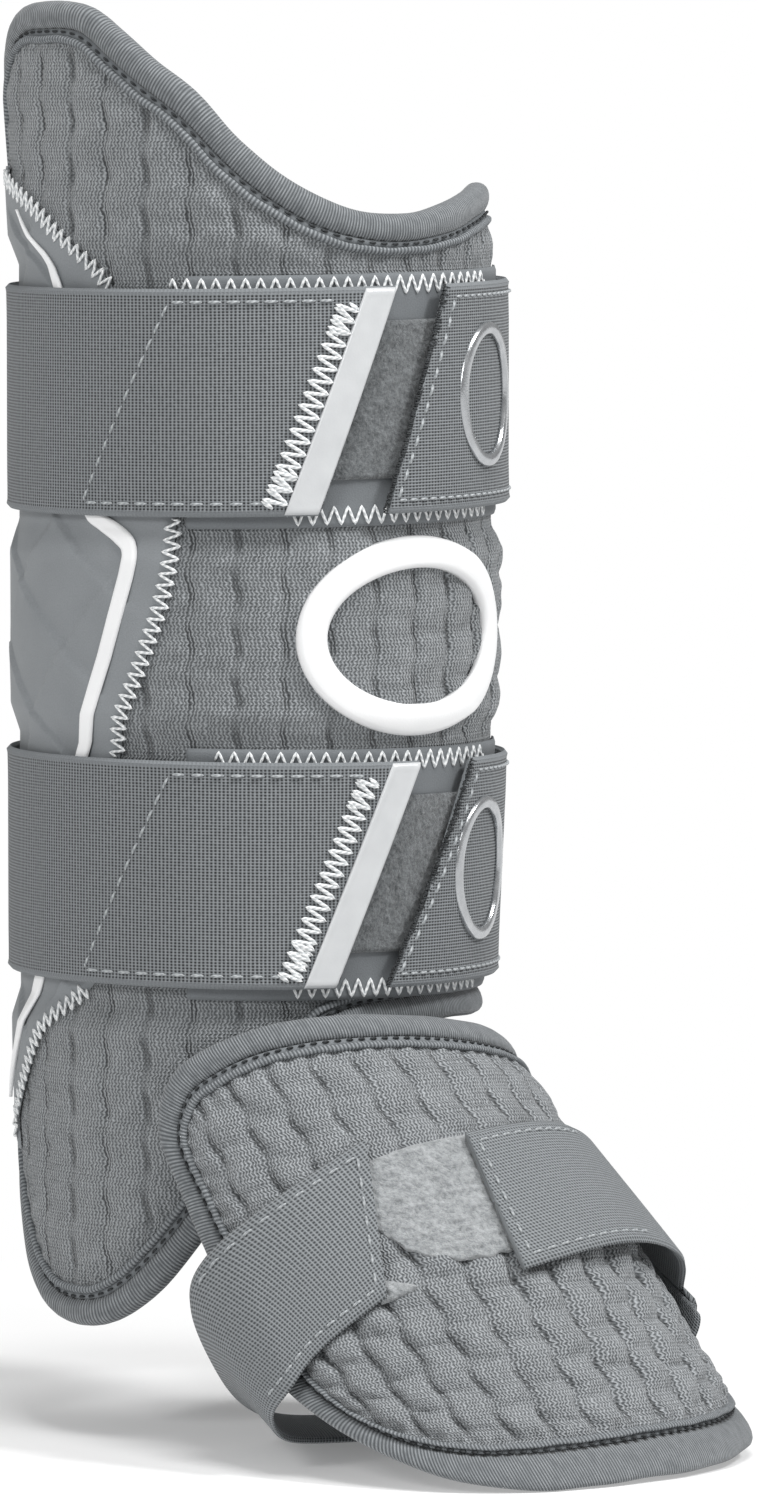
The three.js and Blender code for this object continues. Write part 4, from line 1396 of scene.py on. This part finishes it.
@dataclass
class LegStrap:
    """Wide elastic strap with its loop panel, pull tab, badge and stitching.

    Angles are given at the strap's bottom and top edge, in that order.
    """

    name: str
    centre: float
    outer_end: tuple[float, float]
    inner_end: tuple[float, float]
    rise: float
    zigzag_shift: tuple[float, float]
    panel_stitch_from: float
    width: float = 62.0
    inside: float = 3.15
    thickness: float = 1.8
    end_lift: float = 1.6
    panel_from: float = -56.0
    panel_to: float = 57.0
    panel_margin: float = 3.4
    panel_low: float = 0.45
    panel_high: float = 1.35
    pile_margin: float = 9.5
    pile_high: float = 2.75
    tab_width: float = 9.0
    tab_thickness: float = 0.9
    badge_width: float = 30.0
    badge_height: float = 40.0
    badge_band: float = 3.6
    badge_turn: float = 24.5
    fray_loops: int = 90

    @property
    def top(self) -> float:
        """Offset of the strap's outer face."""
        return self.inside + self.thickness

    def edge(self, angle: Array, side: Array) -> Array:
        """Height of a line along the strap: side is -1 at its bottom and 1 at its top."""
        return self.centre + side * self.width / 2 - 0.5 * self.rise * np.sin(np.radians(wrapped(angle)))

    def lift(self, arc: Array) -> Array:
        """Lift of the strap's inner end off the loop panel."""
        return self.end_lift * smooth(arc / LEG.per_degree, 332.0, 366.0)

    def ends(self, side: Array) -> tuple[Array, Array]:
        """Angles of the strap's outer and inner end at a side."""
        share = (side + 1.0) / 2.0
        return (
            self.outer_end[0] + share * (self.outer_end[1] - self.outer_end[0]),
            360.0 + self.inner_end[0] + share * (self.inner_end[1] - self.inner_end[0]),
        )

    def strap(self) -> None:
        """The strap itself: a flat band whose long edges are rolled a little."""
        side = np.sin(np.linspace(-1.0, 1.0, 41) * math.pi / 2.0) * 0.35 + np.linspace(-1.0, 1.0, 41) * 0.65
        start, stop = self.ends(side)
        angle = start[None] + (stop - start)[None] * np.linspace(0.0, 1.0, 330)[:, None]
        arc = angle * LEG.per_degree
        wave = 0.18 * np.sin(arc / 13.0 + 2.0 * side[None]) * smooth(np.abs(side[None]), 0.6, 1.0)
        selvage = 0.22 * smooth(np.abs(side[None]), 0.93, 0.97)
        base = self.inside + self.lift(arc)
        cloth = np.stack([arc, np.broadcast_to(side[None] * self.width / 2, arc.shape)], axis=-1)
        high = base + self.thickness + wave + selvage
        patch = slab_patch(arc, self.edge(angle, side[None]), LEG.point, base, high, 1.0, cloth)
        piece = make_piece(f"{self.name}_elastic", [patch], [Cloths.ELASTIC], f"{self.name}_strap")

    def on_panel(self, first: float, last: float, margin: float) -> tuple[Array, Array, Array]:
        """Grid of a layer under the strap's ends.

        Args:
            first: Angle at which it begins.
            last: Angle at which it ends.
            margin: Millimetres by which it is wider than the strap at each side.

        Returns:
            Arc, height, and the share of its puff, which is 0 at the sides.
        """
        angle = np.linspace(first, last, 150)[:, None]
        side = np.linspace(-1.0, 1.0, 60)[None]
        height = self.edge(angle, side) + side * margin
        puff = smooth(np.minimum(side + 1.0, 1.0 - side) * self.width / 2, 0, 2.0)
        return np.broadcast_to(angle * LEG.per_degree, height.shape), height, puff

    def panel(self) -> None:
        """Sewn-on loop panel and the brushed pile on it."""
        arc, height, puff = self.on_panel(self.panel_from, self.panel_to, self.panel_margin)
        high = self.panel_high + 0.06 * ripple(arc, height, 9.0, 3) * puff
        patch = slab_patch(arc, height, LEG.point, self.panel_low, high, 0.9)
        node = f"{self.name}_loop_panel"
        piece = make_piece(f"{self.name}_loop_backing", [patch], [Cloths.PANEL], node)
        arc, height, puff = self.on_panel(self.panel_from + 6, self.panel_to - 12, -self.pile_margin)
        high = self.pile_high + 0.22 * ripple(arc, height, 2.4, 8) * puff
        patch = slab_patch(arc, height, LEG.point, self.panel_high - 0.2, high, 0.9)
        make_piece(f"{self.name}_loop_brushed", [patch], [Cloths.PILE], f"{self.name}_loop_pile")

    def tab(self) -> None:
        """Pull tab: a pressed film strip with a raised rim, left plain."""
        side = np.linspace(-1.0, 1.0, 60)
        start, _ = self.ends(side)
        share = np.linspace(0.0, 1.0, 19)[:, None]
        arc = (start[None] + 0.3) * LEG.per_degree + share * self.tab_width
        height = self.edge(arc / LEG.per_degree, side[None]) - np.sign(side)[None] * 0.4 * np.abs(side)[None]
        near = np.minimum(
            np.minimum(share, 1.0 - share) * self.tab_width,
            np.minimum(side + 1, 1 - side)[None] * self.width / 2,
        )
        rim = 0.22 * smooth(near, 0.0, 0.7) - 0.2 * smooth(near, 1.0, 1.7)
        patch = slab_patch(arc, height, LEG.point, self.top - 0.3, self.top + self.tab_thickness + rim, 0.5)
        node = f"{self.name}_strap_tab"
        make_piece(f"{self.name}_pull_tab", [patch], [Cloths.SILVER_FILM], node)

    def badge(self) -> None:
        """Plain raised oval ring on the strap's inner end."""
        angle = -self.badge_turn
        middle = (angle * LEG.per_degree, float(self.edge(np.array(angle), np.array(0.0))))
        base = self.top + float(self.lift(np.array((angle + 360.0) * LEG.per_degree)))
        size = (self.badge_width, self.badge_height)
        patch = oval_ring(middle, size, self.badge_band, base - 0.2, base + 1.5)
        node = f"{self.name}_strap_badge"
        make_piece(f"{self.name}_oval_badge", [patch], [Cloths.CHROME_FILM], node)

    def plane_line(self, *spots: tuple[float, float]) -> Array:
        """Line through places on the strap, each an angle and a side."""
        at, known = np.linspace(0, len(spots) - 1, 120), np.arange(len(spots))
        angle, side = (np.interp(at, known, column) for column in zip(*spots))
        return np.stack([angle * LEG.per_degree, self.edge(angle, side)], axis=1)

    @staticmethod
    def between(low: tuple[float, float], high: tuple[float, float], share: float) -> tuple[float, float]:
        """Place at a share of the way from one place to another."""
        return low[0] + share * (high[0] - low[0]), low[1] + share * (high[1] - low[1])

    def fray(self) -> None:
        """Short loose loops of dark yarn along the cut inner end."""
        chance = np.random.default_rng(11)
        many = self.fray_loops
        side = np.linspace(-0.98, 0.98, many) + chance.uniform(-0.008, 0.008, many)
        _, stop = self.ends(side)
        reach = np.array([-0.5, 0.35, 0.9, 0.7, -0.3]) * chance.uniform(0.6, 1.25, (many, 1))
        angle = stop[:, None] - 360.0 + reach
        slip = np.linspace(-0.5, 0.5, 5) * chance.uniform(0.5, 1.6, (many, 1))
        along = side[:, None] * self.width / 2 + slip
        bow = np.array([1.5, 1.3, 0.9, 0.5, 0.3]) * chance.uniform(0.7, 1.2, (many, 1))
        height = self.edge(angle, along / (self.width / 2))
        points = LEG.point(angle * LEG.per_degree, height, self.inside + self.end_lift + bow)
        make_piece(f"{self.name}_frayed_end", thread_patches(points, 0.27, 4), [Cloths.DARK_SEAM])

    def white_stitches(self) -> None:
        """Zigzags beside the tab, doubled at both ends, and along the loop panel."""
        white = Stitching(f"{self.name}_zigzag", LEG.point)
        low = (self.outer_end[0] + self.zigzag_shift[0], -0.93)
        high = (self.outer_end[1] + self.zigzag_shift[1], 0.86)
        for first, last, lean, extra in (
            (low, high, 0.0, 0.0),
            (low, self.between(low, high, 0.2), 1.7, 0.25),
            (self.between(low, high, 0.84), high, 1.7, 0.25),
        ):
            white.zigzag(self.plane_line(first, last), 3.4, 7.0, self.top + 0.3 + extra, 0.55, lean)
        for side, drop, start in ((1.0, 0.2, self.panel_stitch_from), (-1.0, -0.2, 33.0)):
            reach = np.linspace(start, -30.0, 200)
            line = np.stack([reach * LEG.per_degree, self.edge(reach, side) + drop], axis=1)
            white.zigzag(line, 4.2, 5.2, self.panel_high + 0.25, 0.42)
        white.build(Cloths.THREAD, "white_film")

    def grey_stitches(self) -> None:
        """Running stitches round the doubled outer end and the inner end."""

        def raised(x: Array, y: Array, offset: Array) -> Array:
            """Point on the leg, lifted where the inner end lifts."""
            return LEG.point(x, y, offset + self.lift(np.where(x < 20.0, x + 360.0 * LEG.per_degree, x)))

        grey = Stitching(f"{self.name}_running_stitch", raised)
        inset = 1.0 - 3.6 / (self.width / 2)
        near = 2.9 / LEG.per_degree
        low, high = self.inner_end[0] - near, self.inner_end[1] - near
        for first, last, dash, gap, radius in (
            ((self.outer_end[0] + 12.0, -inset), (83.0, -inset), 3.6, 1.3, 0.46),
            ((83.0, -inset), (60.0, inset), 3.6, 1.3, 0.42),
            ((60.0, inset), (self.outer_end[1] + 15.0, inset), 3.6, 1.3, 0.46),
            ((low, -inset), (-74.0, -inset), 2.4, 1.0, 0.46),
            ((high, inset), (-74.0, inset), 2.4, 1.0, 0.46),
            ((low, -inset), (high, inset), 3.4, 1.2, 0.44),
        ):
            grey.running(self.plane_line(first, last), dash, gap, self.top + 0.16, radius)
        grey.build(Cloths.GREY_THREAD, "webbing")

    def build(self) -> None:
        """Builds and dresses everything on this strap."""
        self.panel()
        self.strap()
        self.tab()
        self.badge()
        self.fray()
        self.white_stitches()
        self.grey_stitches()


def oval_ring(
    middle: tuple[float, float], size: tuple[float, float], band: float, low: float, high: float
) -> Patch:
    """Flat oval ring on the leg's surface, with bevelled sides.

    The section is a low trapezium with rounded shoulders, carried round an
    ellipse.

    Args:
        middle: Arc and height of its middle.
        size: Width and height over all.
        band: Width of the ring's band.
        low: Offset of its underside.
        high: Offset of its top.

    Returns:
        The ring's grid.
    """
    steps = 140
    turn = np.arange(steps) / steps * TURN
    inset = np.array([0.0, 0.03, 0.10, 0.2, 0.5, 0.8, 0.9, 0.97, 1.0, 0.5]) * band
    lift = np.array([0.0, 0.55, 0.88, 1.0, 1.04, 1.0, 0.88, 0.55, 0.0, 0.0])
    x = middle[0] + (size[0] / 2 - inset[None]) * np.cos(turn)[:, None]
    y = middle[1] + (size[1] / 2 - inset[None]) * np.sin(turn)[:, None]
    run = np.arange(steps + 1) / steps * TURN * (size[0] + size[1]) / 4
    cloth = plane_grid(run, np.append(inset, band * 1.5))
    return Patch(LEG.point(x, y, low + (high - low) * lift[None]), cloth, closed_rows=True)


@dataclass
class FrontBadge:
    """White raised badge between the straps: a plain oval ring."""

    width: float = 76.0
    height: float = 55.1
    band: float = 9.0
    low: float = -0.55
    high: float = 2.35

    def build(self) -> None:
        """Builds and dresses the badge."""
        middle = (-1.0 * LEG.per_degree, (LEG.level(LEG.upper) + LEG.level(LEG.lower)) / 2.0)
        patch = oval_ring(middle, (self.width, self.height), self.band, self.low, self.high)
        make_piece("front_oval_badge", [patch], [Cloths.WHITE_FILM], "front_badge")


# The foot


# [angle, station]
FLAP_OUTLINE = np.array([
    [-75, 0.155], [-72, 0.115], [-66, 0.075], [-56, 0.048], [-44, 0.030], [-30, 0.024], [-14, 0.030],
    [3, 0.042], [22, 0.058], [40, 0.072], [56, 0.095], [67, 0.150], [73, 0.240], [76, 0.360],
    [77.5, 0.500], [77.5, 0.640], [76, 0.745], [70, 0.812], [58, 0.846], [40, 0.860], [20, 0.865],
    [0, 0.868], [-18, 0.874], [-34, 0.878], [-48, 0.870], [-60, 0.845], [-69, 0.795], [-74, 0.730],
    [-76.5, 0.630], [-76, 0.520], [-75, 0.400], [-75, 0.270],
])

# [angle, station at the top edge, at the bottom edge]
PATCH_ROWS = np.array([
    [-52, 0.300, 0.390], [-41, 0.277, 0.375], [-38, 0.272, 0.395], [-35.5, 0.267, 0.422], [-33, 0.263, 0.446],
    [-30, 0.259, 0.462], [-26, 0.252, 0.473], [-20, 0.245, 0.485], [-12, 0.240, 0.480], [-4, 0.238, 0.470],
    [4, 0.238, 0.462], [12, 0.240, 0.455],
])


@dataclass
class InstepFlap:
    """Quilted flap over the instep, with its rolled edge and loop patch."""

    thickness: float = 8.6
    binding_width: float = 8.2
    toe_extra: float = 6.0
    patch_low: float = -0.9

    @property
    def outline(self) -> Array:
        """Edge of the flap in plane millimetres."""
        plane = FLAP_OUTLINE * np.array([FLAP.per_degree, FLAP.length])
        return even_steps(catmull_rom(plane, 900, True), 200, True)

    @staticmethod
    def quilt(x: Array, y: Array) -> Array:
        """Quilt of the flap: fuller cells, half a cell apart in next columns.

        The crown is as on the shin, and fuller towards the toe.

        Args:
            x: Arc across the foot.
            y: Length along the flap.

        Returns:
            Millimetres outward.
        """
        column, part, gap = quilt_columns(x, y, 0.7, 0.3 * ripple(x, y, 6.0, 31))
        row = y / TACK + 0.5 * np.mod(np.floor(column), 2.0) + 0.1 * ripple(x, y, 26.0, 6)
        cell = np.abs(np.sin(math.pi * row)) ** 0.7
        valley = np.exp(-((gap / 1.1) ** 2)) * (0.65 + 0.35 * np.sin(TURN * y / TACK + TACK_PHASE))
        puffed = 0.9 + 0.8 * smooth(y, 40.0, 90.0)
        relief = puffed * (1.7 * (1.0 - part**3) * (0.15 + 0.85 * cell) - 1.1) - 0.8 * valley
        return relief + 0.35 * ripple(x, y, 19.0, 9) + 0.15 * ripple(x, y, 4.5, 15)

    def roll_width(self, line: Array) -> Array:
        """Width of the edge roll, which grows towards the toe."""
        return self.binding_width + self.toe_extra * smooth(line[:, 1] / FLAP.length, 0.1, 0.8)

    def tuft(self) -> Patch:
        """Small pointed tuft of the patch's pile that shows beside the arch strap."""
        along = np.linspace(0.0, 1.0, 30)[:, None]
        side = np.linspace(-1.0, 1.0, 20)[None]
        start, tip = np.array([-45.0, 0.513]), np.array([-35.0, 0.517])
        half = 0.026 * (1.0 - along) ** 0.7 + 0.001
        angle = start[0] + (tip[0] - start[0]) * along + 0.0 * side
        station = start[1] + (tip[1] - start[1]) * along + half * side
        x, y = angle * FLAP.per_degree, station * FLAP.length
        high = 1.3 + 0.5 * (1.0 - side**2) + 0.3 * ripple(x, y, 2.6, 17)
        return slab_patch(x, y, FLAP.point, self.patch_low, high, 1.2)

    def patch(self) -> None:
        """Pale brushed loop patch, soft and uneven at its edges."""
        angle = np.linspace(PATCH_ROWS[0, 0], PATCH_ROWS[-1, 0], 120)
        top, low = (table_at(PATCH_ROWS, angle, column) * FLAP.length for column in (1, 2))
        share = np.linspace(0.0, 1.0, 60)[None]
        y = top[:, None] + (low - top)[:, None] * share
        y = y + 0.5 * ripple(angle[:, None] * 1.2, y, 5.0, 2) * (share > 0.98)
        x = np.broadcast_to((angle * FLAP.per_degree)[:, None], y.shape)
        near = np.minimum(share, 1.0 - share) * (low - top)[:, None]
        high = 1.4 + 0.35 * ripple(x, y, 3.2, 12) * smooth(near, 0.0, 2.0)
        grids = [slab_patch(x, y, FLAP.point, self.patch_low, high, 1.6), self.tuft()]
        make_piece("flap_pale_loop", grids, [Cloths.PALE_PILE], "foot_loop_patch")

    def build(self) -> None:
        """Builds and dresses the flap."""
        outline = self.outline
        QuiltedPad(
            "flap_quilt", "foot_pad", outline, FLAP.point, self.quilt, Cloths.FLAP_KNIT, self.thickness,
            rows=150, lining_rows=30, pucker=0.6,
        ).build()
        EdgeRoll("flap_edge_roll", "foot_binding", outline, FLAP.point, self.roll_width).build()
        self.patch()


# Where the arch strap lies on the flap, and where it passes under the foot
# [back edge angle, station, lift, front edge angle, station, lift]
ARCH_OUTER = np.array([
    [-30, 0.220, 0, -43, 0.530, 0], [-42, 0.255, 0, -53, 0.565, 0], [-54, 0.290, 0, -63, 0.600, 0],
    [-66, 0.325, 0.3, -72, 0.640, 0.4], [-78, 0.362, 1.2, -81, 0.690, 1.6],
])
ARCH_INNER = np.array([
    [78, 0.340, 2.8, 76, 0.572, 7.5], [64, 0.295, 1.6, 62, 0.533, 7.1], [50, 0.258, 0.8, 48, 0.505, 6.2],
    [34, 0.232, 0.3, 33, 0.490, 4.6], [20, 0.225, 0, 20, 0.488, 2.8], [6, 0.230, 0, 6, 0.500, 1.2],
    [-7, 0.240, 0.6, -10, 0.520, 0.9],
])
# [back edge sideways, forward, up, front edge sideways, forward, up], as shares
ARCH_UNDER = np.array([
    [-1.035, 0.335, 0.420, -1.010, 0.535, 0.178], [-0.880, 0.322, 0.268, -0.930, 0.518, 0.122],
    [-0.645, 0.270, 0.156, -0.760, 0.500, 0.104], [-0.450, 0.252, 0.108, -0.480, 0.482, 0.090],
    [-0.150, 0.242, 0.088, -0.120, 0.468, 0.080], [0.280, 0.250, 0.092, 0.280, 0.478, 0.084],
    [0.620, 0.272, 0.120, 0.640, 0.508, 0.110], [0.870, 0.304, 0.190, 0.915, 0.548, 0.155],
    [1.005, 0.345, 0.320, 1.055, 0.582, 0.235], [1.060, 0.400, 0.470, 1.080, 0.594, 0.315],
])


@dataclass
class ArchStrap:
    """Elastic strap from the flap under the arch of the foot and back."""

    base: float = 1.7
    thickness: float = 1.8
    steps: int = 260
    smoothing: int = 6
    lanes: int = 27

    def on_flap(self, rows: Array) -> Array:
        """Points of one edge where the strap lies on the flap."""
        return FLAP.point(rows[:, 0] * FLAP.per_degree, rows[:, 1] * FLAP.length, self.base + rows[:, 2])

    def edges(self) -> list[Array]:
        """The strap's back and front edge, as smooth lines that keep their ends."""
        lines = []
        for pick in (slice(0, 3), slice(3, 6)):
            under = ARCH_UNDER[:, pick] * np.array([FLAP.half_width, -FLAP.reach, FLAP.rise])
            outer, inner = self.on_flap(ARCH_OUTER[:, pick]), self.on_flap(ARCH_INNER[:, pick])
            control = np.concatenate([outer, under, inner])
            line = catmull_rom(control, self.steps, False)
            ends = ((self.smoothing, self.smoothing), (0, 0))
            line = np.pad(line, ends, mode="reflect", reflect_type="odd")
            window = np.lib.stride_tricks.sliding_window_view(line, 2 * self.smoothing + 1, axis=0)
            lines.append(window.mean(axis=-1))
        return lines

    def faces(self) -> tuple[Array, Array]:
        """Inner face of the strap and its outward directions."""
        back, front = self.edges()
        lane = np.linspace(0.0, 1.0, self.lanes)[None, :, None]
        inner = back[:, None] * (1 - lane) + front[:, None] * lane
        across = np.broadcast_to((front - back)[:, None], inner.shape)
        normal = np.cross(np.gradient(inner, axis=0), across)
        normal /= np.linalg.norm(normal, axis=2, keepdims=True)
        hub = np.array([0.0, -0.42 * FLAP.reach, 0.45 * FLAP.rise])
        sign = np.sign(np.einsum("ijk,ijk->ij", normal, inner - hub))[..., None]
        return inner, normal * np.where(sign == 0, 1.0, sign)

    def build(self) -> None:
        """Builds and dresses the strap and its stitches."""
        inner, normal = self.faces()
        width = np.linalg.norm(inner[:, -1] - inner[:, 0], axis=1).mean()
        run = run_along(inner[:, self.lanes // 2])

        def surface(x: Array, y: Array, offset: Array) -> Array:
            """Point of the strap at a run, a distance from its middle and a lift."""
            place = np.interp(x, run, np.arange(len(run)))
            i = np.clip(place.astype(int), 0, len(run) - 2)
            lanes = np.clip((y / width + 0.5) * (self.lanes - 1), 0, self.lanes - 1)
            j = np.clip(lanes.astype(int), 0, self.lanes - 2)
            f, g = (place - i)[..., None], (lanes - j)[..., None]
            return sum(
                share * (inner[i + a, j + b] + normal[i + a, j + b] * offset[..., None])
                for a, b, share in (
                    (0, 0, (1 - f) * (1 - g)), (1, 0, f * (1 - g)), (0, 1, (1 - f) * g), (1, 1, f * g)
                )
            )

        x = np.broadcast_to(run[:, None], (len(run), self.lanes))
        y = np.broadcast_to((np.linspace(0.0, 1.0, self.lanes) - 0.5) * width, x.shape)
        high = self.thickness + 0.12 * np.sin(x / 7.0 + y / 9.0)
        patch = slab_patch(x, y, surface, 0.0, high, 1.0)
        piece = make_piece("arch_elastic", [patch], [Cloths.ARCH_ELASTIC], "foot_strap")
        sewing = Stitching("arch_running_stitch", surface)
        edge = width / 2 - 3.4
        for begin, stop in ((3.2, 52.0), (run[-1] - 3.2, run[-1] - 52.0)):
            for first, last in (((begin, -edge), (begin, edge)), ((begin, -edge), (stop, -edge)),
                                ((begin, edge), (stop, edge))):
                line = even_steps(np.array([first, last]), 60, False)
                sewing.running(line, 3.4, 1.3, self.thickness + 0.15, 0.42)
        sewing.build(Cloths.GREY_THREAD, "webbing")


# Middle line of the ankle tongue
# [forward with the leg, forward with the foot, up as a share of the instep]
TONGUE_LINE = np.array([
    [0.760, 0, 1.240], [0.760, 0, 1.110], [0.766, 0, 1.010], [0.720, 0.032, 0.955], [0.500, 0.1595, 0.912],
    [0.250, 0.305, 0.868], [0.100, 0.400, 0.812], [0, 0.476, 0.756],
])


@dataclass
class AnkleTongue:
    """Plain cloth that carries the flap from inside the shin pad."""

    thickness: float = 2.0
    half_angle: float = 17.0
    rows: int = 70
    columns: int = 30

    def build(self) -> None:
        """Builds and dresses the tongue."""
        forward = TONGUE_LINE[:, 0] * LEG.half_depth + TONGUE_LINE[:, 1] * FLAP.reach
        path = np.stack([forward, TONGUE_LINE[:, 2] * FLAP.rise], axis=1)
        path = even_steps(catmull_rom(path, 200, False), self.rows, False)
        across = -directions(path)[1]

        def surface(x: Array, y: Array, offset: Array) -> Array:
            """Point of the tongue at a row, a share of its angle and a lift."""
            spot = path[x] + across[x] * offset[..., None]
            turn = np.radians(y * self.half_angle)
            forward, up = spot[..., 0], spot[..., 1]
            return np.stack([-forward * np.sin(turn), -forward * np.cos(turn), up], axis=-1)

        x, y = np.meshgrid(np.arange(self.rows), np.linspace(-1.0, 1.0, self.columns), indexing="ij")
        half = self.thickness / 2 * 0.9
        patch = slab_patch(x, y, surface, -half, half, cloth=np.stack([x * 1.2, y * 20.0], axis=-1))
        piece = make_piece("ankle_cloth", [patch], [Cloths.LINING], "ankle_tongue")


# The studio


@dataclass
class Studio:
    """Camera, soft lights and the pale floor."""

    azimuth: float = 40.0
    elevation: float = 4.1
    distance: float = 2.6
    focal_pixels: float = 9308.0
    picture_height: int = 1500
    aim_side: float = 0.0339
    aim_height: float = 0.192
    floor_gap: float = 0.0006
    floor_reach: float = 40.0
    surround: float = 0.3

    def put(self, name: str, data: Any, place: Vector, facing: Vector) -> Any:
        """Object at a place, turned so that it looks along a direction."""
        thing = bpy.data.objects.new(name, data)
        thing.location = place
        thing.rotation_mode = "QUATERNION"
        thing.rotation_quaternion = facing.to_track_quat("-Z", "Y")
        bpy.context.scene.collection.objects.link(thing)
        return thing

    def camera(self) -> None:
        """Camera at the photograph's angle, aimed beside the leg's middle line."""
        turn, tilt = math.radians(self.azimuth), math.radians(self.elevation)
        right = Vector((math.cos(turn), -math.sin(turn), 0.0))
        aim = right * self.aim_side + Vector((0.0, 0.0, self.aim_height - SEAT_HEIGHT / 1000.0))
        back = Vector((-math.sin(turn) * math.cos(tilt), -math.cos(turn) * math.cos(tilt), math.sin(tilt)))
        data = bpy.data.cameras.new("camera")
        data.sensor_width = 36.0
        data.lens = self.focal_pixels / self.picture_height * data.sensor_width
        data.clip_start, data.clip_end = 0.05, 50.0
        bpy.context.scene.camera = self.put("camera", data, aim + back * self.distance, -back)

    def light(self, name: str, place: tuple[float, float, float], size: float, power: float) -> None:
        """Adds a square soft light that faces the guard."""
        data = bpy.data.lights.new(name, "AREA")
        data.shape, data.size, data.energy = "SQUARE", size, power
        self.put(name, data, Vector(place), Vector((0.0, -0.04, -0.03)) - Vector(place))

    def sky(self, scene: Any) -> None:
        """Plain white surround that lights the guard only softly."""
        world = bpy.data.worlds.new("studio")
        world.use_nodes = True
        tree = world.node_tree
        tree.nodes.clear()
        seen = add_node(tree, "ShaderNodeLightPath").outputs["Is Camera Ray"]
        soft, bright = (
            add_node(tree, "ShaderNodeBackground", inputs={"Color": WHITE, "Strength": strength})
            for strength in (self.surround, 1.0)
        )
        inputs = {0: seen, 1: soft.outputs[0], 2: bright.outputs[0]}
        both = add_node(tree, "ShaderNodeMixShader", inputs=inputs)
        add_node(tree, "ShaderNodeOutputWorld", inputs={"Surface": both.outputs[0]})
        scene.world = world

    def paper(self) -> Any:
        """White paper whose shade fades out into the white surround."""
        material, tree, shader = Finish(name="white_paper_sweep", base="#fbfbfb", roughness=0.95).start()
        place = add_node(tree, "ShaderNodeTexCoord").outputs["Object"]
        grain = add_node(tree, "ShaderNodeTexNoise", inputs={"Vector": place, "Scale": 900.0, "Detail": 2.0})
        bump = add_node(tree, "ShaderNodeBump", inputs={"Height": grain.outputs["Fac"], "Distance": 0.00005})
        tree.links.new(bump.outputs[0], shader.inputs["Normal"])
        far = add_node(tree, "ShaderNodeVectorMath", {"operation": "LENGTH"}, {0: place})
        fade = add_node(tree, "ShaderNodeMapRange", inputs={"Value": far.outputs["Value"], 1: 0.2, 2: 0.42})
        glow = add_node(tree, "ShaderNodeEmission", inputs={"Color": WHITE, "Strength": 1.0})
        inputs = {0: fade.outputs[0], 1: shader.outputs[0], 2: glow.outputs[0]}
        mixed = add_node(tree, "ShaderNodeMixShader", inputs=inputs)
        output = next(node for node in tree.nodes if node.type == "OUTPUT_MATERIAL")
        tree.links.new(mixed.outputs[0], output.inputs["Surface"])
        return material

    def build(self) -> None:
        """Builds the camera, the lights, the sky and the floor."""
        self.camera()
        scene = bpy.context.scene
        scene.view_settings.view_transform = "Standard"
        scene.view_settings.look = "None"
        self.sky(scene)
        self.light("key", (0.75, -1.45, 1.6), 0.4, 32.0)
        self.light("overhead", (-0.25, -0.7, 1.9), 0.8, 24.0)
        self.light("outer_fill", (-1.7, -0.55, 0.9), 0.5, 12.0)
        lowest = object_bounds()[0][2] - self.floor_gap
        mesh = bpy.data.meshes.new("floor")
        reach = self.floor_reach
        corners = [(a * reach, b * reach, lowest) for a, b in ((-1, -1), (1, -1), (1, 1), (-1, 1))]
        mesh.from_pydata(corners, [], [(0, 1, 2, 3)])
        floor = bpy.data.objects.new("floor", mesh)
        scene.collection.objects.link(floor)
        mesh.materials.append(self.paper())
        floor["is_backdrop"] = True
        LOG.info("studio ready")


def main() -> None:
    """Builds the studio and the guard's pieces in order."""
    logging.basicConfig(level=logging.INFO, format="%(name)s: %(message)s")
    Studio().build()
    shin = ShinShell()
    shin.build()
    SidePlate().build(shin.outline)
    LegStrap("upper", LEG.level(LEG.upper), (26.0, 7.0), (10.0, -7.5), 2.2, (10.5, 12.0), 61.0).build()
    LegStrap("lower", LEG.level(LEG.lower), (21.5, 0.0), (8.0, -18.0), -1.6, (11.5, 14.0), 50.0).build()
    FrontBadge().build()
    InstepFlap().build()
    ArchStrap().build()
    AnkleTongue().build()


if __name__ == "__main__":
    main()
